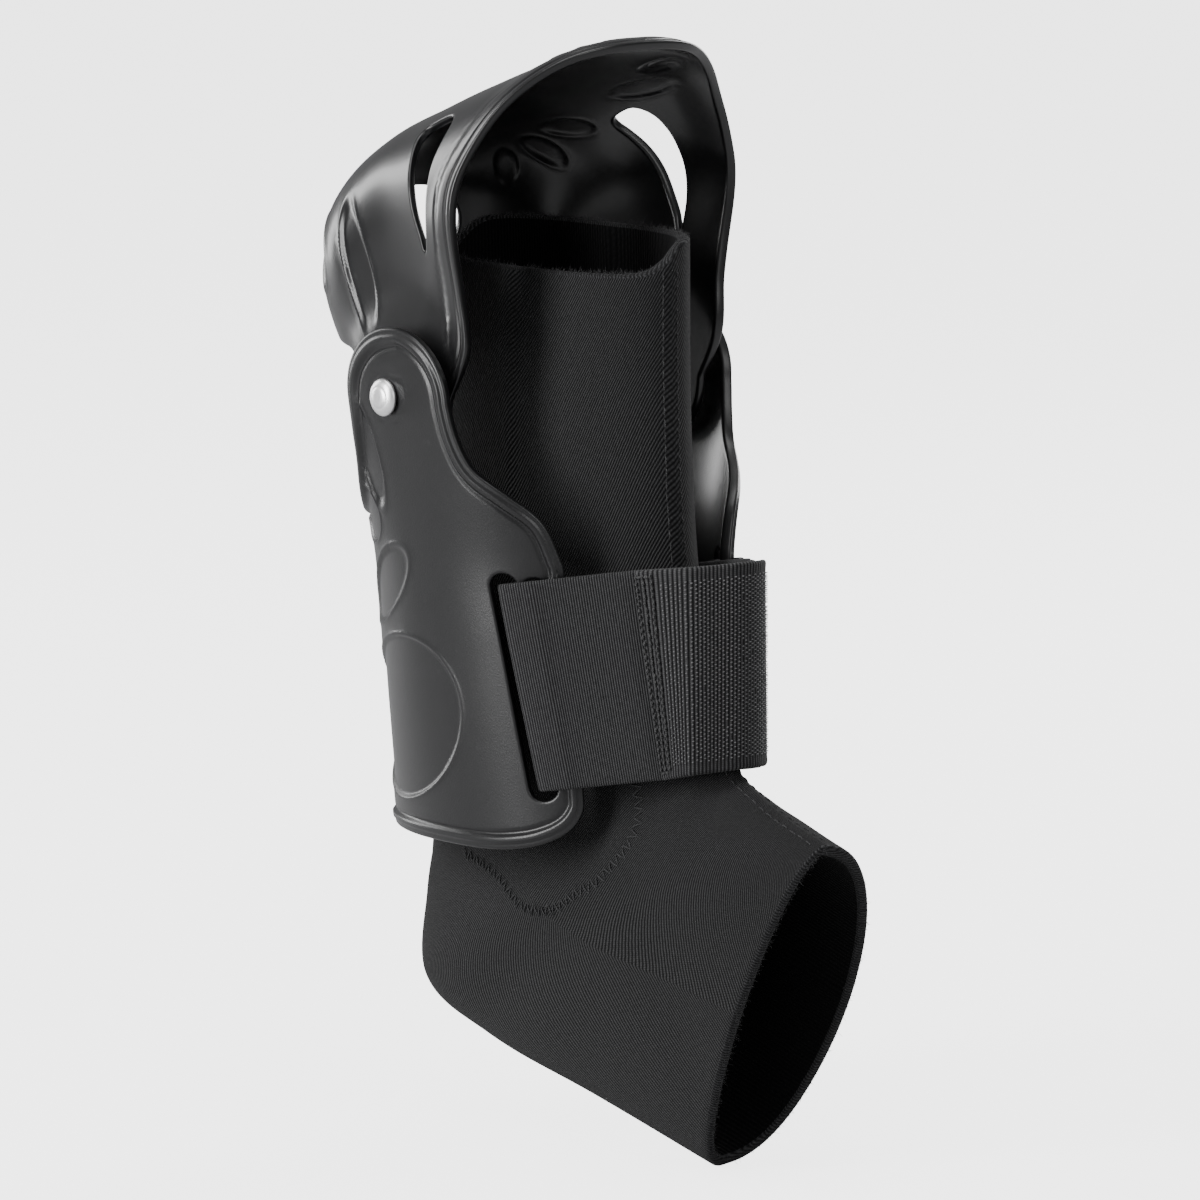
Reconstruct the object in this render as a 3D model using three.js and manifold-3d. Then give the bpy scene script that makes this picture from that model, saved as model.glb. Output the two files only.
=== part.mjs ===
// Hinged ankle brace: an elastic sleeve, a hard calf shell round it, a hood riveted on top and a front strap.
// Millimetres. +Z runs up the leg, the toes point to -Y, and the origin is the ankle joint inside the sleeve.
import * as THREE from 'three';
import { mergeVertices } from 'three/addons/utils/BufferGeometryUtils.js';
import Module from 'manifold-3d';

const wasm = await Module();
wasm.setup();

// Running gaps between pieces that touch on the real brace.
const SEAT_GAP = 0.3;
const HINGE_PLAY = 0.5;
const CUT_MARGIN = 20;
const WELD = 1e-4;

// Sleeve, an L-shaped tube of foam-backed knit.
const SLEEVE_WALL = 3;
const LEG_HEIGHT = 151.5;
const LEG_DEPTH = 87;
const SLEEVE_HALF_WIDTH = 20;
const FOOT_DROP = 62;
const TOP_EDGE_SLANT = 5;
const SLEEVE_RINGS = 18;
const SLEEVE_SIDES = 28;

// Calf shell, a tapered plastic cup open at the shin, whose two arms carry the hinge.
const SHELL_WALL = 2.4;
const SHELL_BOTTOM = 11.5;
const SHELL_HALF_WIDTH = 45.3;
const SHELL_FRONT_DEPTH = 46;
const SHELL_REAR_DEPTH = 46.5;
const PIVOT_HEIGHT = 118;
const PIVOT_SETBACK = 15.5;
const SHELL_LEAN = 10;
const SHELL_TOP_ADVANCE = 2.5;
const ARM_FRONT = 21.5;
const ARM_REAR = 16;
const ARM_RISE = 16.7;
const SHELL_LEVELS = 6;
const SHELL_SIDES = 32;
const OUTLINE_SEGMENTS = 5;

// Bead that stiffens the rim of the calf shell, and the moulded leaf panels in both plastic pieces.
const BEAD_WIDTH = 2.4;
const BEAD_HEIGHT = 0.7;
const BEAD_SETBACK = 0.6;
const PANEL_DEPTH = 0.6;

// Hood, a heel-cup form that stands over the leg opening and swings on the rivets.
const HOOD_WALL = 2;
const HOOD_FLARE = 9.5;
const FLARE_START = 24;
const FLARE_END = 60;
const HOOD_SQUARENESS = 2.5;
const HOOD_ARM_RADIUS = 17;
const HOOD_REACH = 84.5;
const HOOD_RINGS = 14;
const HOOD_SIDES = 30;
const BOSS_RADIUS = 7;
const CRESCENT_SEGMENTS = 22;

// Rivets.
const RIVET_HEAD = 9;
const RIVET_DOME = 2;
const RIVET_SHANK = 5;
const RIVET_FLANGE = 1;
const RIVET_BRIM = 0.4;
const RIVET_SIDES = 16;
const DOME_STEPS = 4;

// Strap of woven webbing with a hook-tape end.
const STRAP_WIDTH = 49;
const STRAP_PLAY = 0.9;
const WEBBING_THICK = 1.6;
const HOOK_TAPE_THICK = 1.8;
const STRAP_BOTTOM = 26.8;
const STRAP_LEAN = 0.165;
const SLOT_LENGTH = 54.5;
const SLOT_WIDTH = 6;
const SLOT_SETBACK = -19.3;
const SECOND_SLOT_STEP = 6.5;
const SECOND_SLOT_WIDTH = 4.5;
const FOLD_ADVANCE = 0.5;
const FLAP_OVERHANG = 10.6;
const NOSE_MIDDLE = -44;
const NOSE_HALF_WIDTH = 14.9;
const NOSE_REACH = 17.5;

const plastic = new THREE.MeshStandardMaterial({ color: 0x2a2b2d, roughness: 0.38, metalness: 0 });
const glossPlastic = new THREE.MeshStandardMaterial({ color: 0x1b1c1e, roughness: 0.22, metalness: 0 });
const knit = new THREE.MeshStandardMaterial({ color: 0x161618, roughness: 0.95, metalness: 0 });
const webbing = new THREE.MeshStandardMaterial({ color: 0x222325, roughness: 0.85, metalness: 0 });
const hookTape = new THREE.MeshStandardMaterial({ color: 0x2c2d2f, roughness: 0.8, metalness: 0 });
const aluminium = new THREE.MeshStandardMaterial({ color: 0xd8dadd, roughness: 0.3, metalness: 1 });

// A cubic curve through one column of a table, read at any value of its "at" column.
function follow(rows, column, at) {
  const last = rows.length - 1;
  const place = THREE.MathUtils.clamp(at, rows[0].at, rows[last].at);
  let row = 0;
  while (row < last - 1 && place > rows[row + 1].at) row += 1;
  const slope = (index) => {
    const before = rows[Math.max(index - 1, 0)];
    const after = rows[Math.min(index + 1, last)];
    return (after[column] - before[column]) / (after.at - before.at);
  };
  const start = rows[row];
  const end = rows[row + 1];
  const span = end.at - start.at;
  const t = (place - start.at) / span;
  const startWeight = 1 + t * t * (2 * t - 3);
  const bend = t * (1 - t) * span * ((1 - t) * slope(row) - t * slope(row + 1));
  return start[column] * startWeight + end[column] * (1 - startWeight) + bend;
}

// Power of a sine or cosine that squares an ellipse up; 2 leaves it round.
function squared(value, squareness) {
  return Math.sign(value) * Math.abs(value) ** (2 / squareness);
}

// A closed body skinned over rings of equally many points; the last ring joins the first.
function ringBody(rings) {
  const sides = rings[0].length;
  const positions = rings.flat().flatMap((point) => point.toArray());
  const faces = [];
  rings.forEach((ring, index) => {
    const next = (index + 1) % rings.length;
    for (let side = 0; side < sides; side += 1) {
      const beside = (side + 1) % sides;
      const [low, lowBeside] = [index * sides + side, index * sides + beside];
      const [high, highBeside] = [next * sides + side, next * sides + beside];
      faces.push(low, lowBeside, highBeside, low, highBeside, high);
    }
  });
  const geometry = new THREE.BufferGeometry();
  geometry.setAttribute('position', new THREE.Float32BufferAttribute(positions, 3));
  geometry.setIndex(faces);
  return geometry;
}

// A closed body skinned over rings between two poles.
function poleBody(startPole, rings, endPole) {
  const sides = rings[0].length;
  const positions = [startPole, ...rings.flat(), endPole].flatMap((point) => point.toArray());
  const endIndex = rings.length * sides + 1;
  const at = (ring, side) => 1 + ring * sides + (side % sides);
  const faces = [];
  for (let side = 0; side < sides; side += 1) {
    faces.push(0, at(0, side), at(0, side + 1));
    faces.push(endIndex, at(rings.length - 1, side + 1), at(rings.length - 1, side));
    for (let ring = 0; ring < rings.length - 1; ring += 1) {
      faces.push(at(ring, side), at(ring + 1, side + 1), at(ring, side + 1));
      faces.push(at(ring, side), at(ring + 1, side), at(ring + 1, side + 1));
    }
  }
  const geometry = new THREE.BufferGeometry();
  geometry.setAttribute('position', new THREE.Float32BufferAttribute(positions, 3));
  geometry.setIndex(faces);
  return geometry;
}

function toSolid(geometry) {
  const bare = geometry.clone();
  bare.deleteAttribute('normal');
  bare.deleteAttribute('uv');
  const welded = mergeVertices(bare, WELD);
  const mesh = new wasm.Mesh({
    numProp: 3,
    vertProperties: new Float32Array(welded.attributes.position.array),
    triVerts: new Uint32Array(welded.index.array),
  });
  return new wasm.Manifold(mesh);
}

function toGeometry(body) {
  const mesh = body.getMesh();
  const geometry = new THREE.BufferGeometry();
  geometry.setAttribute('position', new THREE.Float32BufferAttribute(mesh.vertProperties, 3));
  geometry.setIndex(Array.from(mesh.triVerts));
  geometry.computeVertexNormals();
  return geometry;
}

// A prism along X of an outline drawn in side view, its points given as (Y, Z).
const SIDE_VIEW = new THREE.Matrix4().makeBasis(
  new THREE.Vector3(0, 1, 0),
  new THREE.Vector3(0, 0, 1),
  new THREE.Vector3(1, 0, 0),
);

function sidePrism(shape, fromX, toX, curveSegments = 12) {
  const settings = { depth: toX - fromX, bevelEnabled: false, curveSegments };
  const geometry = new THREE.ExtrudeGeometry(shape, settings);
  geometry.applyMatrix4(SIDE_VIEW);
  geometry.translate(fromX, 0, 0);
  return toSolid(geometry);
}

// Sleeve

// Sections from the leg opening to the toe opening, in side view. Y columns are shares of the leg's depth, Z
// columns shares of the leg's height above the ankle and of the foot's drop below it.
const SLEEVE_PROFILE = [
  { at: 0, frontY: -0.4, frontZ: 1, backY: 0.5, backZ: 1 },
  { at: 1, frontY: -0.405, frontZ: 0.79, backY: 0.49, backZ: 0.77 },
  { at: 2, frontY: -0.43, frontZ: 0.57, backY: 0.485, backZ: 0.54 },
  { at: 3, frontY: -0.5, frontZ: 0.4, backY: 0.5, backZ: 0.31 },
  { at: 4, frontY: -0.58, frontZ: 0.29, backY: 0.525, backZ: 0.1 },
  { at: 5, frontY: -0.675, frontZ: 0.215, backY: 0.58, backZ: -0.16 },
  { at: 6, frontY: -0.78, frontZ: 0.18, backY: 0.58, backZ: -0.5 },
  { at: 7, frontY: -0.87, frontZ: 0.157, backY: 0.33, backZ: -0.68 },
  { at: 8, frontY: -0.96, frontZ: 0.14, backY: -0.13, backZ: -0.83 },
  { at: 9, frontY: -1.04, frontZ: 0.127, backY: -0.61, backZ: -1 },
];

// The same sections' half widths, as shares of the sleeve's, and how square they are at the front and behind.
const SLEEVE_WIDTHS = [
  { at: 0, near: 0.82, far: 0.86, nose: 2.5, square: 2.7 },
  { at: 1, near: 0.88, far: 0.92, nose: 2.3, square: 2.7 },
  { at: 2, near: 0.95, far: 1, nose: 2.1, square: 2.6 },
  { at: 3, near: 1, far: 1.05, nose: 1.8, square: 2.5 },
  { at: 4, near: 0.93, far: 0.93, nose: 1.7, square: 2.4 },
  { at: 5, near: 0.9, far: 0.92, nose: 1.7, square: 2.3 },
  { at: 6, near: 1, far: 1.1, nose: 1.9, square: 2.25 },
  { at: 7, near: 0.95, far: 1.3, nose: 2, square: 2.2 },
  { at: 8, near: 0.8, far: 1.29, nose: 2, square: 2.2 },
  { at: 9, near: 0.6, far: 1.24, nose: 2, square: 2.2 },
];

function sleeveHeight(share) {
  return share > 0 ? share * LEG_HEIGHT : share * FOOT_DROP;
}

function sleeveRing(at, inset) {
  const read = (column) => follow(SLEEVE_PROFILE, column, at);
  const readWidth = (column) => follow(SLEEVE_WIDTHS, column, at);
  const front = new THREE.Vector3(0, read('frontY') * LEG_DEPTH, sleeveHeight(read('frontZ')));
  const back = new THREE.Vector3(0, read('backY') * LEG_DEPTH, sleeveHeight(read('backZ')));
  const middle = front.clone().add(back).multiplyScalar(0.5);
  const forward = front.clone().sub(back).multiplyScalar(0.5);
  const reach = forward.length() - inset;
  forward.normalize();
  const slant = TOP_EDGE_SLANT * Math.max(0, 1 - at);
  return Array.from({ length: SLEEVE_SIDES }, (_, side) => {
    const turn = (side / SLEEVE_SIDES) * 2 * Math.PI;
    const width = (Math.sin(turn) < 0 ? readWidth('near') : readWidth('far')) * SLEEVE_HALF_WIDTH - inset;
    const squareness = Math.cos(turn) > 0 ? readWidth('nose') : readWidth('square');
    const across = width * squared(Math.sin(turn), squareness);
    const point = middle.clone().addScaledVector(forward, reach * squared(Math.cos(turn), squareness));
    point.x = across;
    point.z += (slant * across) / SLEEVE_HALF_WIDTH;
    return point;
  });
}

function makeSleeve() {
  const end = SLEEVE_PROFILE.at(-1).at;
  const steps = Array.from({ length: SLEEVE_RINGS + 1 }, (_, step) => (step / SLEEVE_RINGS) * end);
  const inside = steps.map((at) => sleeveRing(at, SLEEVE_WALL));
  const outside = steps.map((at) => sleeveRing(at, 0)).reverse();
  return ringBody([...inside, ...outside]);
}

// Calf shell

// Shares of the shell's half width and depths at heights given as shares of the pivot's height.
const SHELL_SECTIONS = [
  { at: 0, width: 0.75, front: 0.95, rear: 1.01, square: 2.15 },
  { at: 0.12, width: 0.775, front: 0.955, rear: 1, square: 2.15 },
  { at: 0.35, width: 0.83, front: 0.965, rear: 0.96, square: 2.15 },
  { at: 0.52, width: 0.865, front: 0.965, rear: 0.91, square: 2.2 },
  { at: 0.68, width: 0.9, front: 0.955, rear: 0.87, square: 2.25 },
  { at: 0.82, width: 0.945, front: 0.96, rear: 0.88, square: 2.5 },
  { at: 1, width: 1, front: 1, rear: 0.98, square: 3 },
  { at: 1.2, width: 1.01, front: 1.01, rear: 1.02, square: 3 },
];

function shellMiddle(height) {
  const drop = (PIVOT_HEIGHT - height) / (PIVOT_HEIGHT - SHELL_BOTTOM);
  return PIVOT_SETBACK - SHELL_TOP_ADVANCE - SHELL_LEAN * drop;
}

function shellRing(height, inset) {
  const read = (column) => follow(SHELL_SECTIONS, column, height / PIVOT_HEIGHT);
  return Array.from({ length: SHELL_SIDES }, (_, side) => {
    const turn = (side / SHELL_SIDES) * 2 * Math.PI;
    const depth = Math.cos(turn) > 0 ? read('rear') * SHELL_REAR_DEPTH : read('front') * SHELL_FRONT_DEPTH;
    return new THREE.Vector3(
      (read('width') * SHELL_HALF_WIDTH - inset) * squared(Math.sin(turn), read('square')),
      shellMiddle(height) + (depth - inset) * squared(Math.cos(turn), read('square')),
      height,
    );
  });
}

// A tube that follows the calf shell's surface between two depths under it; negative is proud of it.
function shellLayer(outer, inner) {
  const low = SHELL_BOTTOM - CUT_MARGIN / 4;
  const high = PIVOT_HEIGHT + ARM_RISE + CUT_MARGIN / 4;
  const levels = Array.from({ length: SHELL_LEVELS + 1 }, (_, step) => step / SHELL_LEVELS);
  const heights = levels.map((share) => THREE.MathUtils.lerp(low, high, share));
  const inside = heights.map((height) => shellRing(height, inner));
  const outside = heights.map((height) => shellRing(height, outer)).reverse();
  return toSolid(ringBody([...inside, ...outside]));
}

// Side views are drawn from the pivot: y and z are shares of one named size, y growing towards the heel.
function fromPivot(rows, size) {
  return rows.map((row) => new THREE.Vector2(PIVOT_SETBACK + row.y * size, PIVOT_HEIGHT + row.z * size));
}

// Edges of the calf shell in shares of the pivot's height, each run from the arm's end downwards.
const SHELL_FRONT_EDGE = [
  { y: -0.197, z: -0.068 },
  { y: -0.225, z: -0.127 },
  { y: -0.286, z: -0.178 },
  { y: -0.333, z: -0.229 },
  { y: -0.358, z: -0.322 },
];
const SHELL_FRONT_CORNER = [
  { y: -0.393, z: -0.767 },
  { y: -0.393, z: -0.814 },
  { y: -0.37, z: -0.856 },
  { y: -0.319, z: -0.884 },
  { y: -0.25, z: -0.898 },
];
const SHELL_REAR_EDGE = [
  { y: 0.136, z: -0.068 },
  { y: 0.153, z: -0.153 },
  { y: 0.203, z: -0.229 },
  { y: 0.288, z: -0.254 },
];

// Side view of the calf shell: the arm's round end, the S-shaped front edge, the hem and the low back.
function shellOutline() {
  const shape = new THREE.Shape();
  const armMiddle = PIVOT_SETBACK + (ARM_REAR - ARM_FRONT) / 2;
  const beyond = SHELL_REAR_DEPTH + PIVOT_SETBACK + CUT_MARGIN;
  shape.moveTo(PIVOT_SETBACK + ARM_REAR, PIVOT_HEIGHT);
  shape.absellipse(armMiddle, PIVOT_HEIGHT, (ARM_REAR + ARM_FRONT) / 2, ARM_RISE, 0, Math.PI, false, 0);
  shape.splineThru(fromPivot(SHELL_FRONT_EDGE, PIVOT_HEIGHT));
  const corner = fromPivot(SHELL_FRONT_CORNER, PIVOT_HEIGHT);
  shape.lineTo(corner[0].x, corner[0].y);
  shape.splineThru([...corner.slice(1), new THREE.Vector2(PIVOT_SETBACK - ARM_FRONT, SHELL_BOTTOM)]);
  shape.lineTo(beyond, SHELL_BOTTOM);
  const rear = fromPivot(SHELL_REAR_EDGE, PIVOT_HEIGHT).reverse();
  shape.lineTo(beyond, rear[0].y);
  shape.lineTo(rear[0].x, rear[0].y);
  shape.splineThru([...rear.slice(1), new THREE.Vector2(PIVOT_SETBACK + ARM_REAR, PIVOT_HEIGHT)]);
  return shape;
}

// An outline moved inwards along its own normals.
function insetOutline(shape, inset) {
  const all = shape.getPoints(OUTLINE_SEGMENTS);
  const corners = all.filter((point, index) => point.distanceTo(all[(index + 1) % all.length]) > SEAT_GAP);
  const moved = corners.map((point, index) => {
    const before = corners[(index + corners.length - 1) % corners.length];
    const after = corners[(index + 1) % corners.length];
    const arriving = point.clone().sub(before).normalize();
    const leaving = after.clone().sub(point).normalize();
    const along = arriving.clone().add(leaving).normalize();
    const inwards = new THREE.Vector2(-along.y, along.x);
    return point.clone().addScaledVector(inwards, inset / along.dot(leaving));
  });
  return new THREE.Shape(moved);
}

// A slot with round ends that leans as the strap does; its middle is at strap height.
function slotShape(middleY, middleZ, length, width) {
  const shape = new THREE.Shape();
  const half = (length - width) / 2;
  const radius = width / 2;
  shape.absarc(0, half, radius, 0, Math.PI, false);
  shape.absarc(0, -half, radius, Math.PI, 2 * Math.PI, false);
  const tilt = Math.atan(STRAP_LEAN);
  const centre = new THREE.Vector2();
  const turned = shape.getPoints(OUTLINE_SEGMENTS).map((point) => point.rotateAround(centre, -tilt));
  return new THREE.Shape(turned.map((point) => point.add(new THREE.Vector2(middleY, middleZ))));
}

// Leaf-shaped panels, placed and sized as shares of one named size.
function leafShape(panel, size) {
  const [middle] = fromPivot([panel], size);
  const shape = new THREE.Shape();
  const halfWidth = panel.halfWidth * size;
  shape.absellipse(middle.x, middle.y, halfWidth, panel.halfHeight * size, 0, 2 * Math.PI, false, panel.turn);
  return shape;
}

// Leaf panels pressed into the calf shell, in shares of the pivot's height; turns in radians.
const SHELL_PANELS = [
  { y: -0.03, z: -0.653, halfWidth: 0.148, halfHeight: 0.174, turn: 0.1 },
  { y: 0.059, z: -0.381, halfWidth: 0.085, halfHeight: 0.072, turn: -0.2 },
  { y: 0.123, z: -0.246, halfWidth: 0.047, halfHeight: 0.034, turn: 0.3 },
  { y: 0.097, z: -0.119, halfWidth: 0.042, halfHeight: 0.1, turn: -0.35 },
];

const STRAP_MIDDLE = STRAP_BOTTOM + STRAP_WIDTH / 2;

function makeCalfShell() {
  const across = SHELL_HALF_WIDTH + CUT_MARGIN;
  const outline = shellOutline();
  const rim = insetOutline(outline, BEAD_SETBACK);
  const field = insetOutline(outline, BEAD_SETBACK + BEAD_WIDTH);
  let shell = shellLayer(0, SHELL_WALL).intersect(sidePrism(outline, -across, across, OUTLINE_SEGMENTS));
  const bead = shellLayer(-BEAD_HEIGHT, SHELL_WALL / 2)
    .intersect(sidePrism(rim, -across, across))
    .subtract(sidePrism(field, -across, across));
  shell = shell.add(bead);
  const skin = shellLayer(-SEAT_GAP, PANEL_DEPTH);
  for (const panel of SHELL_PANELS) {
    const leaf = leafShape(panel, PIVOT_HEIGHT);
    shell = shell.subtract(skin.intersect(sidePrism(leaf, -across, across, OUTLINE_SEGMENTS)));
  }
  const slots = [
    slotShape(SLOT_SETBACK, STRAP_MIDDLE, SLOT_LENGTH, SLOT_WIDTH),
    slotShape(SLOT_SETBACK - SECOND_SLOT_STEP, STRAP_MIDDLE, SLOT_LENGTH, SECOND_SLOT_WIDTH),
  ];
  for (const slot of slots) shell = shell.subtract(sidePrism(slot, -across, across));
  return toGeometry(shell.subtract(sidePrism(rivetHole(), -across, across)));
}

function rivetHole() {
  return new THREE.Shape().absarc(PIVOT_SETBACK, PIVOT_HEIGHT, RIVET_SHANK / 2 + SEAT_GAP, 0, 2 * Math.PI);
}

// Hood

// Distance of the hood's ridge from the pivot, as shares of its reach, by angle from straight up in degrees.
const HOOD_RIDGE = [
  { at: -180, reach: 0.62 },
  { at: -120, reach: 0.9 },
  { at: -70, reach: 1.08 },
  { at: -26.5, reach: 1.112 },
  { at: -13.5, reach: 0.962 },
  { at: -3.5, reach: 0.879 },
  { at: 9.6, reach: 0.818 },
  { at: 24, reach: 0.8 },
  { at: 35, reach: 0.792 },
  { at: 43.5, reach: 0.772 },
  { at: 51, reach: 0.728 },
  { at: 60, reach: 0.665 },
  { at: 69, reach: 0.59 },
  { at: 77, reach: 0.525 },
  { at: 90, reach: 0.46 },
  { at: 130, reach: 0.48 },
  { at: 180, reach: 0.62 },
];

// The hood's arms lie flat inside the shell's arms, so they turn without rubbing.
function armPlane() {
  const edge = shellRing(PIVOT_HEIGHT, SHELL_WALL)
    .filter((point) => Math.abs(point.y - PIVOT_SETBACK) <= ARM_FRONT)
    .map((point) => Math.abs(point.x));
  return Math.min(...edge) - HINGE_PLAY;
}

const HOOD_HALF_WIDTH = armPlane();

function hoodPoint(turn, lift, inset) {
  const ridge = follow(HOOD_RIDGE, 'reach', THREE.MathUtils.radToDeg(turn)) * HOOD_REACH - inset;
  const out = ridge * squared(Math.cos(lift), HOOD_SQUARENESS);
  const flare = HOOD_FLARE * THREE.MathUtils.smoothstep(out, FLARE_START, FLARE_END);
  return new THREE.Vector3(
    (HOOD_HALF_WIDTH + flare - inset) * squared(Math.sin(lift), HOOD_SQUARENESS),
    PIVOT_SETBACK + out * Math.sin(turn),
    PIVOT_HEIGHT + out * Math.cos(turn),
  );
}

function hoodLayer(inset) {
  const halfTurn = Math.PI / 2;
  const shares = Array.from({ length: HOOD_RINGS - 1 }, (_, ring) => (ring + 1) / HOOD_RINGS);
  const lifts = shares.map((share) => THREE.MathUtils.lerp(-halfTurn, halfTurn, share));
  const turns = Array.from({ length: HOOD_SIDES }, (_, side) => (side / HOOD_SIDES - 0.5) * 2 * Math.PI);
  const rings = lifts.map((lift) => turns.map((turn) => hoodPoint(turn, lift, inset)));
  return toSolid(poleBody(hoodPoint(0, -halfTurn, inset), rings, hoodPoint(0, halfTurn, inset)));
}

// Side view of the hood. Places are measured from the pivot: forward of it is negative.
const HOOD_RIM = [
  { y: -0.275, z: 0.142 },
  { y: -0.269, z: 0.296 },
  { y: -0.266, z: 0.426 },
  { y: -0.272, z: 0.544 },
  { y: -0.286, z: 0.639 },
  { y: -0.31, z: 0.734 },
  { y: -0.34, z: 0.817 },
  { y: -0.385, z: 0.888 },
  { y: -0.444, z: 0.953 },
  { y: -0.515, z: 1 },
];
const HOOD_REAR_HEM = [
  { y: 0.26, z: 0.095 },
  { y: 0.355, z: 0.112 },
  { y: 0.497, z: 0.118 },
];
const CRESCENT_FRONT = [
  { y: -0.104, z: 0.414 },
  { y: -0.117, z: 0.497 },
  { y: -0.118, z: 0.592 },
  { y: -0.112, z: 0.663 },
  { y: -0.107, z: 0.722 },
  { y: -0.095, z: 0.763 },
  { y: -0.065, z: 0.783 },
];
const CRESCENT_REAR = [
  { y: -0.024, z: 0.776 },
  { y: 0.041, z: 0.746 },
  { y: 0.053, z: 0.722 },
  { y: 0.039, z: 0.698 },
  { y: 0.006, z: 0.651 },
  { y: -0.026, z: 0.592 },
  { y: -0.057, z: 0.521 },
  { y: -0.086, z: 0.462 },
];
const BACK_HOLE = { z: 0.414, halfWidth: 0.178, halfHeight: 0.124 };
const HOOD_PANELS = [
  { y: 0.219, z: 0.337, halfWidth: 0.057, halfHeight: 0.207, turn: -0.38 },
  { y: 0.45, z: 0.367, halfWidth: 0.04, halfHeight: 0.107, turn: -0.3 },
];

function hoodOutline() {
  const shape = new THREE.Shape();
  const beyond = PIVOT_SETBACK + HOOD_REACH + CUT_MARGIN;
  const above = PIVOT_HEIGHT + HOOD_REACH + CUT_MARGIN;
  const rim = fromPivot(HOOD_RIM, HOOD_REACH);
  const hem = fromPivot(HOOD_REAR_HEM, HOOD_REACH).reverse();
  shape.absarc(PIVOT_SETBACK, PIVOT_HEIGHT, HOOD_ARM_RADIUS, 0, -Math.PI, true);
  shape.splineThru(rim);
  shape.lineTo(rim.at(-1).x, above);
  shape.lineTo(beyond, above);
  shape.lineTo(beyond, hem[0].y);
  shape.splineThru(hem);
  return shape;
}

function makeHood() {
  const across = HOOD_HALF_WIDTH + CUT_MARGIN;
  const outline = sidePrism(hoodOutline(), -across, across, OUTLINE_SEGMENTS);
  let hood = hoodLayer(0).subtract(hoodLayer(HOOD_WALL)).intersect(outline);
  const crescentRows = [...CRESCENT_FRONT, ...CRESCENT_REAR, CRESCENT_FRONT[0]];
  const bend = new THREE.SplineCurve(fromPivot(crescentRows, HOOD_REACH));
  const crescent = new THREE.Shape(bend.getPoints(CRESCENT_SEGMENTS));
  hood = hood.subtract(sidePrism(crescent, -across, -HOOD_HALF_WIDTH / 3));
  hood = hood.subtract(sidePrism(crescent, HOOD_HALF_WIDTH / 3, across));
  const skin = hoodLayer(-SEAT_GAP).subtract(hoodLayer(PANEL_DEPTH));
  for (const panel of HOOD_PANELS) {
    const leaf = leafShape(panel, HOOD_REACH);
    hood = hood.subtract(skin.intersect(sidePrism(leaf, -across, across, OUTLINE_SEGMENTS)));
  }
  hood = hood.subtract(backHole());
  const bossLength = bossHeight() + HOOD_WALL / 2;
  for (const side of [-1, 1]) {
    const boss = new THREE.CylinderGeometry(BOSS_RADIUS, BOSS_RADIUS, bossLength, RIVET_SIDES);
    boss.rotateZ(Math.PI / 2);
    boss.translate(side * (HOOD_HALF_WIDTH + bossHeight() - bossLength / 2), PIVOT_SETBACK, PIVOT_HEIGHT);
    hood = hood.add(toSolid(boss));
  }
  return toGeometry(hood.subtract(sidePrism(rivetHole(), -across, across)));
}

// The boss round each rivet hole bridges the gap between the hood's flat arm and the shell's tapered one.
function bossHeight() {
  const wall = shellRing(PIVOT_HEIGHT - BOSS_RADIUS, SHELL_WALL)
    .filter((point) => Math.abs(point.y - PIVOT_SETBACK) < HOOD_ARM_RADIUS)
    .map((point) => Math.abs(point.x));
  return Math.min(...wall) - SEAT_GAP - HOOD_HALF_WIDTH;
}

// A heel opening in the back of the hood, cut along Y.
function backHole() {
  const { z, halfWidth, halfHeight } = BACK_HOLE;
  const oval = new THREE.Shape();
  const height = PIVOT_HEIGHT + z * HOOD_REACH;
  oval.absellipse(0, height, halfWidth * HOOD_REACH, halfHeight * HOOD_REACH, 0, 2 * Math.PI);
  const settings = { depth: HOOD_REACH, bevelEnabled: false, curveSegments: 2 * OUTLINE_SEGMENTS };
  const geometry = new THREE.ExtrudeGeometry(oval, settings);
  geometry.rotateX(Math.PI / 2);
  geometry.translate(0, PIVOT_SETBACK + CUT_MARGIN + HOOD_REACH, 0);
  return toSolid(geometry);
}

// Rivets

function makeRivet(side) {
  const underHead = shellRing(PIVOT_HEIGHT, 0)
    .filter((point) => Math.abs(point.y - PIVOT_SETBACK) < RIVET_HEAD)
    .map((point) => Math.abs(point.x));
  const seat = Math.max(...underHead) + SEAT_GAP;
  const inner = HOOD_HALF_WIDTH - HOOD_WALL - SEAT_GAP;
  const head = RIVET_HEAD / 2;
  const flange = head - RIVET_FLANGE;
  const dome = Array.from({ length: DOME_STEPS }, (_, step) => {
    const turn = ((step / DOME_STEPS) * Math.PI) / 2;
    return new THREE.Vector2(head * Math.cos(turn), seat + RIVET_BRIM + RIVET_DOME * Math.sin(turn));
  });
  const profile = [
    new THREE.Vector2(0, inner - RIVET_FLANGE),
    new THREE.Vector2(flange, inner - RIVET_FLANGE),
    new THREE.Vector2(flange, inner),
    new THREE.Vector2(RIVET_SHANK / 2, inner),
    new THREE.Vector2(RIVET_SHANK / 2, seat),
    new THREE.Vector2(head, seat),
    ...dome,
    new THREE.Vector2(0, seat + RIVET_BRIM + RIVET_DOME),
  ];
  const geometry = new THREE.LatheGeometry(profile, RIVET_SIDES);
  geometry.rotateZ(-side * Math.PI / 2);
  geometry.translate(0, PIVOT_SETBACK, PIVOT_HEIGHT);
  return toGeometry(toSolid(geometry));
}

// Strap

const STRAP_OFFSET = STRAP_PLAY + WEBBING_THICK / 2;
const LAYER_STEP = WEBBING_THICK + SEAT_GAP;

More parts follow.
